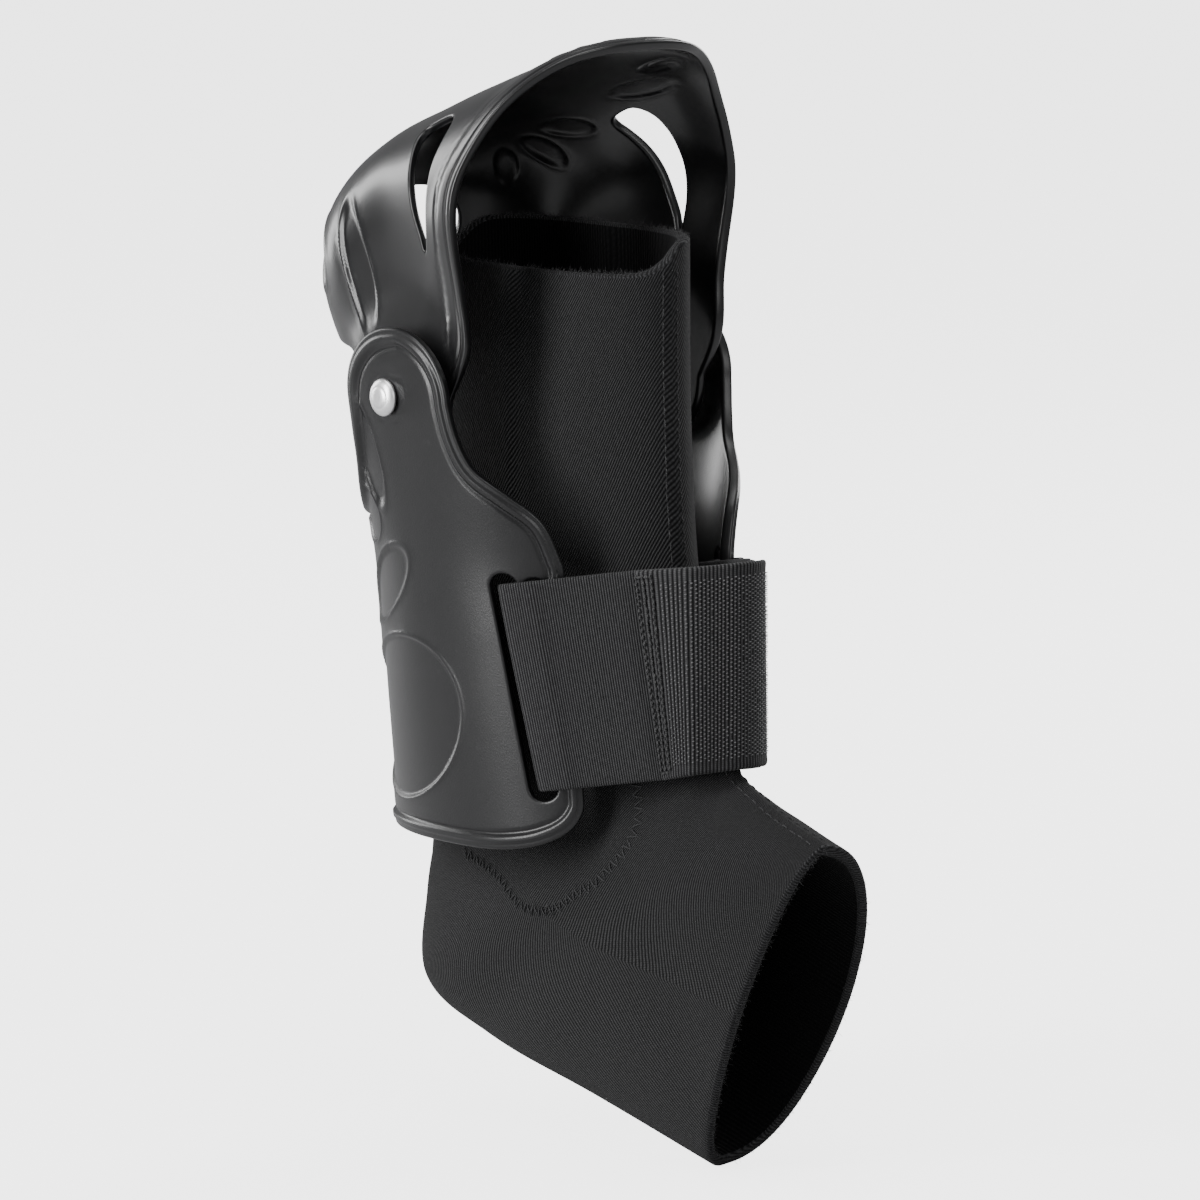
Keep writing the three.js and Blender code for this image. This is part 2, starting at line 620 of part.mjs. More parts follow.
// Half width of the calf shell's wall at a place in plan, under its outer face by the inset.
function shellAcross(y, height, inset) {
  const read = (column) => follow(SHELL_SECTIONS, column, height / PIVOT_HEIGHT);
  const behind = y > shellMiddle(height);
  const depth = (behind ? read('rear') * SHELL_REAR_DEPTH : read('front') * SHELL_FRONT_DEPTH) - inset;
  const share = Math.abs(y - shellMiddle(height)) / depth;
  return (read('width') * SHELL_HALF_WIDTH - inset) * (1 - share ** read('square')) ** (1 / read('square'));
}

function onPlate(side, y, inset) {
  return new THREE.Vector2(side * shellAcross(y, STRAP_MIDDLE, inset), y);
}

// The strap bends round the shin on an ellipse, met at turns in degrees from straight ahead. Layers under
// the outer one lie closer in, each row of the table giving its own depth.
function nosePoints(side, rows) {
  return rows.map((row) => {
    const turn = THREE.MathUtils.degToRad(row.turn);
    return new THREE.Vector2(
      side * (NOSE_HALF_WIDTH - row.depth) * Math.sin(turn),
      NOSE_MIDDLE - (NOSE_REACH - row.depth) * Math.cos(turn),
    );
  });
}

function evenTurns(fromTurn, toTurn, count, depth) {
  return Array.from({ length: count }, (_, index) => ({
    turn: THREE.MathUtils.lerp(fromTurn, toTurn, index / (count - 1)),
    depth,
  }));
}

// The fold through a slot, from inside the plate to outside it.
function foldPoints(side) {
  const bar = SLOT_SETBACK - SLOT_WIDTH / 2 + FOLD_ADVANCE;
  const radius = SHELL_WALL / 2 + STRAP_OFFSET;
  return FOLD_TURNS.map((degrees) => {
    const turn = THREE.MathUtils.degToRad(degrees);
    return onPlate(side, bar + radius * Math.cos(turn), SHELL_WALL / 2 - radius * Math.sin(turn));
  });
}

const FLAP_EDGE = SLOT_SETBACK - FLAP_OVERHANG;

// The run beside a plate, from the fold to the flap's edge.
function besidePlate(side, inset) {
  return [onPlate(side, FLAP_EDGE + FLAP_OVERHANG / 3, inset), onPlate(side, FLAP_EDGE, inset)];
}

const OVER_BEAD = -BEAD_HEIGHT - STRAP_OFFSET;
const UNDER_WALL = SHELL_WALL + STRAP_OFFSET;

// Turns at which the layers start and end on the nose, in degrees; negative is past the middle.
const SEWN_END = 72;
const WEBBING_END = 50;
const HOOK_TAPE_START = 81;
const HOOK_TAPE_END = -46;
const NOSE_ENTRY = 84;
const STEP_DOWN = 25;
const SAMPLE_TURN = 12;
const FOLD_TURNS = [-90, -45, 0, 45, 90];

// Plan of the webbing: sewn end on the far side, far slot, round the shin, near slot, and back over itself.
function webbingPlan() {
  return [
    ...nosePoints(1, evenTurns(SEWN_END, NOSE_ENTRY, 3, 0)),
    ...besidePlate(1, OVER_BEAD).reverse(),
    ...foldPoints(1).reverse(),
    ...besidePlate(1, UNDER_WALL),
    ...nosePoints(1, evenTurns(NOSE_ENTRY, -NOSE_ENTRY, 15, LAYER_STEP)),
    ...besidePlate(-1, UNDER_WALL).reverse(),
    ...foldPoints(-1),
    ...besidePlate(-1, OVER_BEAD),
    ...nosePoints(-1, evenTurns(NOSE_ENTRY, WEBBING_END, 4, 0)),
  ];
}

// The hook tape starts over the webbing's end and steps down past it onto the inner run.
function hookTapePlan() {
  const over = -(WEBBING_THICK + HOOK_TAPE_THICK) / 2 - SEAT_GAP;
  const past = (WEBBING_THICK - HOOK_TAPE_THICK) / 2;
  return nosePoints(-1, [
    ...evenTurns(HOOK_TAPE_START, WEBBING_END - SAMPLE_TURN / 3, 5, over),
    ...evenTurns(WEBBING_END - STEP_DOWN, HOOK_TAPE_END, 8, past),
  ]);
}

// Places a plan point at a height share of the strap, 0 at its lower edge, along the shell's lean and taper.
function onStrap(plan, share) {
  const rise = (share - 0.5) * STRAP_WIDTH;
  const wide = shellAcross(SLOT_SETBACK + STRAP_LEAN * rise, STRAP_MIDDLE + rise, 0);
  const taper = wide / shellAcross(SLOT_SETBACK, STRAP_MIDDLE, 0);
  const behindNose = THREE.MathUtils.smoothstep(plan.y, NOSE_MIDDLE - NOSE_REACH, NOSE_MIDDLE);
  const lean = STRAP_LEAN * behindNose;
  return new THREE.Vector3(
    plan.x * THREE.MathUtils.lerp(1, taper, behindNose),
    plan.y + lean * rise,
    STRAP_MIDDLE + rise - STRAP_LEAN * (plan.y - SLOT_SETBACK),
  );
}

// A ribbon of even thickness along a plan curve.
function ribbon(plan, thickness) {
  const curve = new THREE.SplineCurve(plan);
  const steps = 2 * (plan.length - 1);
  const rings = Array.from({ length: steps + 1 }, (_, step) => {
    const middle = curve.getPoint(step / steps);
    const along = curve.getTangent(step / steps);
    const out = new THREE.Vector2(-along.y, along.x).multiplyScalar(thickness / 2);
    const faces = [middle.clone().add(out), middle.clone().sub(out)];
    return [onStrap(faces[0], 0), onStrap(faces[0], 1), onStrap(faces[1], 1), onStrap(faces[1], 0)];
  });
  return capped(rings);
}

// A closed body skinned over rings of four points, with a flat cap at each end.
function capped(rings) {
  const body = ringBody(rings);
  const last = (rings.length - 1) * 4;
  const index = Array.from(body.index.array).slice(0, last * 6);
  index.push(0, 2, 1, 0, 3, 2, last, last + 1, last + 2, last, last + 2, last + 3);
  body.setIndex(index);
  return body;
}

function named(name, geometry, material) {
  const mesh = new THREE.Mesh(geometry, material);
  mesh.name = name;
  return mesh;
}

const brace = new THREE.Group();
brace.add(named('sleeve', makeSleeve(), knit));
brace.add(named('calf_shell', makeCalfShell(), plastic));
brace.add(named('hood', makeHood(), glossPlastic));
brace.add(named('rivet_near', makeRivet(-1), aluminium));
brace.add(named('rivet_far', makeRivet(1), aluminium));
brace.add(named('strap_webbing', ribbon(webbingPlan(), WEBBING_THICK), webbing));
brace.add(named('strap_hook_tape', ribbon(hookTapePlan(), HOOK_TAPE_THICK), hookTape));

export default brace;
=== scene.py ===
# %% [markdown]
# # A hinged ankle support
# The real object is an elastic ankle sleeve held between two black plastic mouldings. A calf shell wraps the
# back and both sides of the ankle, a glossy hood is riveted to its two arms, and a wide strap crosses the front.
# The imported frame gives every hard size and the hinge. This lesson dresses that frame: it builds the curved
# mouldings again as smooth surfaces, sews the sleeve, weaves the strap, and lights it all in a pale studio.
# Millimetres are used inside the formulas, because they are what such a part is drawn in, and each mesh is
# turned into metres as it is made.

# %% Load the frame and keep its box
import bpy
import math
import numpy as np
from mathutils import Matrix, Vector
from mathutils.bvhtree import BVHTree
from mathutils.geometry import delaunay_2d_cdt


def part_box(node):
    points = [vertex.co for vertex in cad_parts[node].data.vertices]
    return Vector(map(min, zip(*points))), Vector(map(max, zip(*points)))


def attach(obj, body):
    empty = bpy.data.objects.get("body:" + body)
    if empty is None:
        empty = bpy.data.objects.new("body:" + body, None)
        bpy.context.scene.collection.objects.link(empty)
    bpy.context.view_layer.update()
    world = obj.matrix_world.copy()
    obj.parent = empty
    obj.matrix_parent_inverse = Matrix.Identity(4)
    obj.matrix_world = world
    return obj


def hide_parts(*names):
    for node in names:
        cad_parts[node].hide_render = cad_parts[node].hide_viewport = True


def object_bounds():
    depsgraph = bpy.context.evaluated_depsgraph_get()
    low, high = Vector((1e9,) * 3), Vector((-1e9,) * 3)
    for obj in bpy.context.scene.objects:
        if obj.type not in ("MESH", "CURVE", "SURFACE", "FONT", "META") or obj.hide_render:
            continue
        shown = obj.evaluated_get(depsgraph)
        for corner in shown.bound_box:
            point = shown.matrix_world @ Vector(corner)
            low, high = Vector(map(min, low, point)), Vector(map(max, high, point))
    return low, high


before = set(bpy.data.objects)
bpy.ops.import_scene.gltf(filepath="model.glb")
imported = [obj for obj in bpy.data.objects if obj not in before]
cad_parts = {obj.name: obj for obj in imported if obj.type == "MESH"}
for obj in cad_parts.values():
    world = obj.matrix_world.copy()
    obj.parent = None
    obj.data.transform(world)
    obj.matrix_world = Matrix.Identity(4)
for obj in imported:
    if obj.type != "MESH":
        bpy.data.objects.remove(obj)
cad_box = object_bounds()
MM = 0.001
print("CAD box in mm", [[round(value / MM, 1) for value in corner] for corner in cad_box])

# %% [markdown]
# ## Camera and studio
# The photograph was taken with a long lens from slightly above, turned forty degrees to the near side. A long
# lens keeps the plates almost parallel, so the camera stands far away with a narrow view.

# %% Camera at the photograph's angle
VIEW_TURN = math.radians(-40)
VIEW_RISE = math.radians(8)
VIEW_DISTANCE = 2.2
VIEW_TARGET = Vector((0, -0.0093, 0.0682))
LENS_LENGTH = 277.2
FILM_WIDTH = 36
FAR_LIMIT = 60

camera_data = bpy.data.cameras.new("photo_camera")
camera_data.lens = LENS_LENGTH
camera_data.sensor_width = FILM_WIDTH
camera_data.clip_end = FAR_LIMIT
camera = bpy.data.objects.new("photo_camera", camera_data)
back_off = Vector((
    math.sin(VIEW_TURN) * math.cos(VIEW_RISE),
    -math.cos(VIEW_TURN) * math.cos(VIEW_RISE),
    math.sin(VIEW_RISE),
))
camera.location = VIEW_TARGET + back_off * VIEW_DISTANCE
camera.rotation_euler = (-back_off).to_track_quat("-Z", "Y").to_euler()
bpy.context.scene.collection.objects.link(camera)
bpy.context.scene.camera = camera
print("camera at", [round(value, 3) for value in camera.location])


# %% Soft boxes
LIGHT_AIM = Vector((0, 0, 0.07))


def soft_box(name, place, width, height, power):
    light = bpy.data.lights.new(name, "AREA")
    light.shape = "RECTANGLE"
    light.size, light.size_y, light.energy = width, height, power
    lamp = bpy.data.objects.new(name, light)
    lamp.location = place
    lamp.rotation_euler = (LIGHT_AIM - Vector(place)).to_track_quat("-Z", "Y").to_euler()
    bpy.context.scene.collection.objects.link(lamp)
    print(name, power, "W")


soft_box("left_window", (-1.48, 0.22, 0.5), 0.5, 1.5, 38)
soft_box("front_fill", (-0.2, -1.9, 0.9), 1.0, 0.9, 10)
soft_box("right_edge", (1.3, 0.3, 0.6), 0.5, 1.2, 16)
soft_box("back_strip", (-0.3, 1.6, 0.35), 0.4, 1.4, 16)
soft_box("overhead", (-0.2, -0.1, 1.7), 1.2, 1.2, 18)

# %% A white room: the eye sees it bright, while it lights the object only dimly, as under flags in a studio
ROOM_LIGHT = 0.3
ROOM_SEEN = 3.6
world = bpy.data.worlds.new("pale_studio")
world.use_nodes = True
backdrop = world.node_tree.nodes["Background"]
backdrop.inputs["Color"].default_value = (0.97, 0.975, 0.985, 1)
seen = world.node_tree.nodes.new("ShaderNodeLightPath")
dimmer = world.node_tree.nodes.new("ShaderNodeMapRange")
dimmer.inputs["To Min"].default_value = ROOM_LIGHT
dimmer.inputs["To Max"].default_value = ROOM_SEEN
world.node_tree.links.new(seen.outputs["Is Camera Ray"], dimmer.inputs["Value"])
world.node_tree.links.new(dimmer.outputs["Result"], backdrop.inputs["Strength"])
bpy.context.scene.world = world
print("room lights", ROOM_LIGHT, "and shows", ROOM_SEEN)


# %% A paper floor that the eye sees as bright as the room
def new_material(name):
    """A material, its node tree and its Principled shader."""
    material = bpy.data.materials.new(name)
    material.use_nodes = True
    return material, material.node_tree, material.node_tree.nodes["Principled BSDF"]


def set_sockets(shader, values):
    for label, value in values.items():
        shader.inputs[label].default_value = value


FLOOR_DROP = 0.0006
FLOOR_REACH = 9
PAPER_GLOW = 3.25
floor_height = cad_box[0][2] - FLOOR_DROP
floor_mesh = bpy.data.meshes.new("floor")
floor_corners = [(x * FLOOR_REACH, y * FLOOR_REACH, floor_height) for x, y in ((-1, -1), (1, -1), (1, 1), (-1, 1))]
floor_mesh.from_pydata(floor_corners, [], [(0, 1, 2, 3)])
floor = bpy.data.objects.new("floor", floor_mesh)
bpy.context.scene.collection.objects.link(floor)
paper, tree, shader = new_material("floor_paper")
set_sockets(shader, {
    "Base Color": (0.45, 0.45, 0.455, 1), "Roughness": 0.8, "Specular IOR Level": 0.1, "Emission Color": (1, 1, 1, 1),
})
paper_seen = tree.nodes.new("ShaderNodeLightPath")
paper_glow = tree.nodes.new("ShaderNodeMath")
paper_glow.operation = "MULTIPLY"
paper_glow.inputs[1].default_value = PAPER_GLOW
tree.links.new(paper_seen.outputs["Is Camera Ray"], paper_glow.inputs[0])
tree.links.new(paper_glow.outputs[0], shader.inputs["Emission Strength"])
floor_mesh.materials.append(paper)
print("floor at", round(floor_height / MM, 2), "mm")

# %% [markdown]
# ## Shader effects that several finishes share
# Moulded plastic has a faint grain, a soft mottle in its gloss and a few pale scuffs, and cloth has ribs that
# run one way under a little fuzz. Each effect could be painted into every material again, but one node group
# with its own knobs is mended in one place, so each is a group that is placed where it is needed.


# %% Node helpers
def node(tree, kind, **settings):
    made = tree.nodes.new(kind)
    for name, value in settings.items():
        if name in made.inputs:
            made.inputs[name].default_value = value
        else:
            setattr(made, name, value)
    return made


def feed(tree, socket, value):
    """Links another node's output to a socket, or sets the socket to a plain value."""
    if isinstance(value, bpy.types.NodeSocket):
        tree.links.new(value, socket)
    else:
        socket.default_value = value


def calculate(tree, operation, *values):
    made = node(tree, "ShaderNodeMath", operation=operation)
    for socket, value in zip(made.inputs, (*values, 0.0, 0.0)):
        feed(tree, socket, value)
    return made.outputs[0]


def new_group(name, inputs, outputs):
    tree = bpy.data.node_groups.new(name, "ShaderNodeTree")
    for label, kind, value in inputs:
        socket = tree.interface.new_socket(label, in_out="INPUT", socket_type=kind)
        if value is not None:
            socket.default_value = value
    for label, kind in outputs:
        tree.interface.new_socket(label, in_out="OUTPUT", socket_type=kind)
    start = tree.nodes.new("NodeGroupInput")
    end = tree.nodes.new("NodeGroupOutput")
    return tree, start, end


def place_group(tree, group, **values):
    made = tree.nodes.new("ShaderNodeGroup")
    made.node_tree = group
    for label, value in values.items():
        feed(tree, made.inputs[label.replace("_", " ")], value)
    return made


FLOAT = "NodeSocketFloat"
VECTOR = "NodeSocketVector"

# %% Moulded grain: a fine texture, a slow mottle and sparse scuffs
grain_group, start, end = new_group(
    "moulded_grain",
    [("Place", VECTOR, None), ("Grain size", FLOAT, 2500.0), ("Mottle size", FLOAT, 45.0)],
    [("Height", FLOAT), ("Mottle", FLOAT), ("Scuff", FLOAT)],
)
grain = node(grain_group, "ShaderNodeTexNoise", Detail=2.0)
mottle = node(grain_group, "ShaderNodeTexNoise", Detail=3.0, Roughness=0.55)
scuff = node(grain_group, "ShaderNodeTexNoise", Scale=260.0, Detail=6.0, Roughness=0.75)
scuff_ramp = node(grain_group, "ShaderNodeMapRange", **{"From Min": 0.62, "From Max": 0.74})
for texture, size in ((grain, "Grain size"), (mottle, "Mottle size")):
    grain_group.links.new(start.outputs["Place"], texture.inputs["Vector"])
    grain_group.links.new(start.outputs[size], texture.inputs["Scale"])
grain_group.links.new(start.outputs["Place"], scuff.inputs["Vector"])
grain_group.links.new(scuff.outputs["Fac"], scuff_ramp.inputs["Value"])
grain_group.links.new(grain.outputs["Fac"], end.inputs["Height"])
grain_group.links.new(mottle.outputs["Fac"], end.inputs["Mottle"])
grain_group.links.new(scuff_ramp.outputs["Result"], end.inputs["Scuff"])

# %% Ribbed cloth: ribs along one direction, each broken into yarn loops
rib_group, start, end = new_group(
    "ribbed_cloth",
    [
        ("Place", VECTOR, None), ("Rib pitch", FLOAT, 0.001), ("Loop pitch", FLOAT, 0.0008),
        ("Unevenness", FLOAT, 0.15),
    ],
    [("Height", FLOAT), ("Shade", FLOAT), ("Fuzz", FLOAT)],
)
wobble = node(rib_group, "ShaderNodeTexNoise", Scale=420.0, Detail=2.0)
rib_group.links.new(start.outputs["Place"], wobble.inputs["Vector"])
split = node(rib_group, "ShaderNodeSeparateXYZ")
rib_group.links.new(start.outputs["Place"], split.inputs[0])
off_middle = calculate(rib_group, "SUBTRACT", wobble.outputs["Fac"], 0.5)
shake = calculate(rib_group, "MULTIPLY", off_middle, start.outputs["Unevenness"])
even_ribs = calculate(rib_group, "DIVIDE", split.outputs["X"], start.outputs["Rib pitch"])
ribs = calculate(rib_group, "ADD", even_ribs, shake)
rib = calculate(rib_group, "COSINE", calculate(rib_group, "MULTIPLY", ribs, 2 * math.pi))
even_loops = calculate(rib_group, "DIVIDE", split.outputs["Y"], start.outputs["Loop pitch"])
# Each rib's loops start half a loop beside those of the last, as in a knit.
loops = calculate(rib_group, "ADD", even_loops, calculate(rib_group, "MULTIPLY", ribs, 0.5))
loop = calculate(rib_group, "COSINE", calculate(rib_group, "MULTIPLY", loops, 2 * math.pi))
crown = calculate(rib_group, "MULTIPLY_ADD", rib, 0.5, 0.5)
bead = calculate(rib_group, "MULTIPLY_ADD", loop, 0.5, 0.5)
height = calculate(rib_group, "MULTIPLY", crown, calculate(rib_group, "MULTIPLY_ADD", bead, 0.35, 0.65))
fuzz = node(rib_group, "ShaderNodeTexNoise", Scale=900.0, Detail=4.0, Roughness=0.7)
rib_group.links.new(start.outputs["Place"], fuzz.inputs["Vector"])
rib_group.links.new(height, end.inputs["Height"])
rib_group.links.new(crown, end.inputs["Shade"])
rib_group.links.new(fuzz.outputs["Fac"], end.inputs["Fuzz"])
print("node groups", sorted(group.name for group in bpy.data.node_groups))

# %% [markdown]
# ## Finishes
# The hood came out of a smooth mould and keeps a soft gloss, and the calf shell has a satin face with a finer
# grain. The sleeve is knit cloth bonded to foam rubber. The strap is ribbed webbing, and its end is hook tape.
# All of them are black, and black shows its form by gloss alone, so roughness and bump matter more than colour.


# %% Plastic finishes
def mix_colour(tree, factor, first, second):
    made = node(tree, "ShaderNodeMix", data_type="RGBA")
    for index, value in ((0, factor), (6, first), (7, second)):
        feed(tree, made.inputs[index], (*value, 1) if isinstance(value, tuple) else value)
    return made.outputs[2]


def bump(tree, height, strength, distance, base=None):
    made = node(tree, "ShaderNodeBump", Strength=strength, Distance=distance)
    tree.links.new(height, made.inputs["Height"])
    if base is not None:
        tree.links.new(base, made.inputs["Normal"])
    return made.outputs["Normal"]


GRAIN_RISE = 0.0002
SCUFF_COLOUR = (0.05, 0.05, 0.052)
SCUFF_SHARE = 0.25
SCUFF_ROUGHNESS = 0.12


def plastic(name, dark, light, gloss, gloss_spread, grain_depth, coat):
    material, tree, shader = new_material(name)
    place = node(tree, "ShaderNodeTexCoord").outputs["Object"]
    effect = place_group(tree, grain_group, Place=place)
    colour = mix_colour(tree, effect.outputs["Mottle"], dark, light)
    scuffed = calculate(tree, "MULTIPLY", effect.outputs["Scuff"], SCUFF_SHARE)
    worn = mix_colour(tree, scuffed, colour, SCUFF_COLOUR)
    tree.links.new(worn, shader.inputs["Base Color"])
    roughness = calculate(tree, "MULTIPLY_ADD", effect.outputs["Mottle"], gloss_spread, gloss - gloss_spread / 2)
    roughness = calculate(tree, "MULTIPLY_ADD", effect.outputs["Scuff"], SCUFF_ROUGHNESS, roughness)
    tree.links.new(roughness, shader.inputs["Roughness"])
    tree.links.new(bump(tree, effect.outputs["Height"], grain_depth, GRAIN_RISE), shader.inputs["Normal"])
    set_sockets(shader, {"Coat Weight": coat, "Coat Roughness": 0.12})
    return material


shell_plastic = plastic("shell_plastic", (0.004, 0.004, 0.0045), (0.008, 0.008, 0.0085), 0.33, 0.08, 0.16, 0.0)
hood_plastic = plastic("hood_plastic", (0.0025, 0.0025, 0.003), (0.005, 0.005, 0.0055), 0.3, 0.08, 0.05, 0.1)


# %% Cloth finishes
def cloth(name, dark, light, rib_pitch, loop_pitch, depth, turn=0.0, mapped=False, unevenness=0.35):
    """Pitches and depth are in metres. Cloth that is mapped takes its ribs from its mesh's flat map."""
    material, tree, shader = new_material(name)
    if not mapped:
        place = node(tree, "ShaderNodeTexCoord").outputs["Object"]
        split = node(tree, "ShaderNodeSeparateXYZ")
        tree.links.new(place, split.inputs[0])
        flat = node(tree, "ShaderNodeCombineXYZ")
        tree.links.new(split.outputs["Y"], flat.inputs["X"])
        tree.links.new(split.outputs["Z"], flat.inputs["Y"])
        tree.links.new(split.outputs["X"], flat.inputs["Z"])
        place = flat.outputs[0]
    else:
        place = node(tree, "ShaderNodeUVMap", uv_map="cloth").outputs["UV"]
    turned = node(tree, "ShaderNodeMapping")
    turned.inputs["Rotation"].default_value = (0, 0, turn)
    tree.links.new(place, turned.inputs["Vector"])
    effect = place_group(tree, rib_group, Place=turned.outputs[0], Rib_pitch=rib_pitch, Loop_pitch=loop_pitch,
                         Unevenness=unevenness)
    # The ribs are painted into the colour, lighter on their crowns and darker in their grooves: painted highlight and
    # painted shade, broken up by the lint noise.
    lint = calculate(tree, "MULTIPLY_ADD", effect.outputs["Fuzz"], 1.2, 0.3)
    painted_rib_light_and_shade = calculate(tree, "MULTIPLY", effect.outputs["Height"], lint)
    tree.links.new(mix_colour(tree, painted_rib_light_and_shade, dark, light), shader.inputs["Base Color"])
    set_sockets(shader, {
        "Roughness": 0.9, "Specular IOR Level": 0.12, "Sheen Weight": 0.03, "Sheen Roughness": 0.5,
    })
    first = bump(tree, effect.outputs["Height"], 0.9, depth)
    tree.links.new(bump(tree, effect.outputs["Fuzz"], 0.35, depth, first), shader.inputs["Normal"])
    return material


KNIT_TURN = math.radians(42)
WOVEN = {"mapped": True, "unevenness": 0.08}
sleeve_knit = cloth("sleeve_knit", (0.0014, 0.0014, 0.0016), (0.05, 0.05, 0.051), 0.0007, 0.00062, 0.00026,
                    KNIT_TURN, mapped=True)
sleeve_lining = cloth("sleeve_lining", (0.001, 0.001, 0.0012), (0.006, 0.006, 0.0064), 0.0011, 0.0011, 0.0002,
                      mapped=True)
foam_edge = cloth("foam_edge", (0.007, 0.007, 0.0073), (0.05, 0.05, 0.052), 0.0006, 0.0007, 0.0003, 0.6,
                  unevenness=1.5)
webbing_cloth = cloth("webbing_cloth", (0.0025, 0.0025, 0.0028), (0.078, 0.078, 0.08), 0.0006, 0.00045, 0.00022,
                      **WOVEN)
hook_cloth = cloth("hook_cloth", (0.003, 0.003, 0.0033), (0.08, 0.08, 0.082), 0.00094, 0.0005, 0.0002, **WOVEN)
strap_thread = cloth("strap_thread", (0.02, 0.02, 0.0205), (0.12, 0.12, 0.122), 0.0003, 0.0004, 0.0001, 0.5)
thread = cloth("sewing_thread", (0.012, 0.012, 0.0125), (0.085, 0.085, 0.087), 0.0003, 0.0004, 0.0001, 0.5)
hook_thread = plastic("hook_thread", (0.1, 0.1, 0.103), (0.17, 0.17, 0.174), 0.4, 0.1, 0.05, 0.0)

# %% Rivet metal
rivet_metal, tree, shader = new_material("rivet_metal")
effect = place_group(tree, grain_group, Place=node(tree, "ShaderNodeTexCoord").outputs["Object"])
silver = mix_colour(tree, effect.outputs["Mottle"], (0.88, 0.88, 0.885), (0.96, 0.96, 0.96))
tree.links.new(silver, shader.inputs["Base Color"])
shader.inputs["Metallic"].default_value = 1
tree.links.new(calculate(tree, "MULTIPLY_ADD", effect.outputs["Mottle"], 0.14, 0.33), shader.inputs["Roughness"])
tree.links.new(bump(tree, effect.outputs["Height"], 0.08, GRAIN_RISE), shader.inputs["Normal"])
print("finishes", sorted(material.name for material in bpy.data.materials))

# %% [markdown]
# ## Reading the maker's tables
# The sleeve and the mouldings are given by a few sections, each column a share of one of the part's sizes. A
# surface could be lofted by hand from drawn rings, but a smooth curve through one column gives that share at
# any height, so a few values are enough for a whole surface, and one value is changed in one place.


# %% Smooth curves through a table's columns
def follow(table, column, at):
    """The column's value at any place, on a smooth curve through its values at the table's places."""
    places = np.array(table["at"], float)
    values = np.array(table[column], float)
    slopes = np.empty_like(values)
    slopes[1:-1] = (values[2:] - values[:-2]) / (places[2:] - places[:-2])
    slopes[0] = (values[1] - values[0]) / (places[1] - places[0])
    slopes[-1] = (values[-1] - values[-2]) / (places[-1] - places[-2])
    spot = np.clip(at, places[0], places[-1])
    row = np.clip(np.searchsorted(places, spot, side="left") - 1, 0, len(places) - 2)
    span = places[row + 1] - places[row]
    t = (spot - places[row]) / span
    start = 1 + t * t * (2 * t - 3)
    bend = t * (1 - t) * span * ((1 - t) * slopes[row] - t * slopes[row + 1])
    return values[row] * start + values[row + 1] * (1 - start) + bend


def squared(value, squareness):
    """Bends a sine or cosine so that its circle turns into a rounded square."""
    return np.sign(value) * np.abs(value) ** (2 / squareness)


def smooth_step(value, low, high):
    t = np.clip((value - low) / (high - low), 0, 1)
    return t * t * (3 - 2 * t)


def ridge(off, middle, width):
    """A soft ridge of height 1 that runs at a distance off a line."""
    return np.exp(-(((off - middle) / width) ** 2))


def length_along(line):
    """Length travelled at each point of a line."""
    return np.concatenate([[0], np.cumsum(np.linalg.norm(np.diff(line, axis=0), axis=1))])


def spline_through(points, steps, closed=False):
    """A Catmull-Rom curve through points, sampled evenly between each pair."""
    points = np.asarray(points, float)
    if closed:
        padded = np.vstack([points[-1], points, points[0], points[1]])
    else:
        padded = np.vstack([2 * points[0] - points[1], points, 2 * points[-1] - points[-2]])
    made = []
    for index in range(1, len(padded) - 2):
        before, start, end, after = padded[index - 1:index + 3]
        for step in range(steps):
            t = step / steps
            made.append(0.5 * (2 * start + (end - before) * t + (2 * before - 5 * start + 4 * end - after) * t * t
                               + (3 * start - before - 3 * end + after) * t ** 3))
    if not closed:
        made.append(points[-1])
    return np.array(made)


# %% Turn arrays of points into a Blender mesh
def volume(points, faces):
    """Signed volume of a closed mesh: it is negative where the faces look inwards."""
    total = 0.0
    for size in {len(face) for face in faces}:
        corners = points[np.array([face for face in faces if len(face) == size])]
        for index in range(1, size - 1):
            turned = np.cross(corners[:, index], corners[:, index + 1])
            total += float(np.sum(corners[:, 0] * turned)) / 6
    return total


def to_object(name, points, faces, materials, face_material=None, uv=None):
    """uv is a flat map in mm, one row for each point or for each corner of four-sided faces."""
    points = np.asarray(points, float)
    faces = [tuple(map(int, face)) for face in faces]
    by_corner = uv is not None and len(uv) != len(points)
    if volume(points, faces) < 0:
        faces = [face[::-1] for face in faces]
        if by_corner:
            uv = uv.reshape(-1, 4, 2)[:, ::-1].reshape(-1, 2)
    mesh = bpy.data.meshes.new(name)
    mesh.from_pydata((points * MM).tolist(), [], faces)
    mesh.polygons.foreach_set("use_smooth", [True] * len(mesh.polygons))
    for material in materials:
        mesh.materials.append(material)
    if face_material is not None:
        mesh.polygons.foreach_set("material_index", np.asarray(face_material, np.int32))
    if uv is not None:
        layer = mesh.uv_layers.new(name="cloth")
        if not by_corner:
            uv = np.asarray(uv, float)[[index for face in faces for index in face]]
        layer.data.foreach_set("uv", (uv * MM).ravel())
    mesh.update()
    made = bpy.data.objects.new(name, mesh)
    bpy.context.scene.collection.objects.link(made)
    print(name, len(mesh.vertices), "vertices", len(mesh.polygons), "faces")
    return made


def grid_faces(rows, columns, wrap_rows, wrap_columns):
    """Four-sided faces over a grid of points, closed on itself along the sides that wrap."""
    row = np.arange(rows if wrap_rows else rows - 1)
    column = np.arange(columns if wrap_columns else columns - 1)
    r, c = np.meshgrid(row, column, indexing="ij")
    r2, c2 = (r + 1) % rows, (c + 1) % columns
    return np.stack([r * columns + c, r * columns + c2, r2 * columns + c2, r2 * columns + c], -1).reshape(-1, 4)
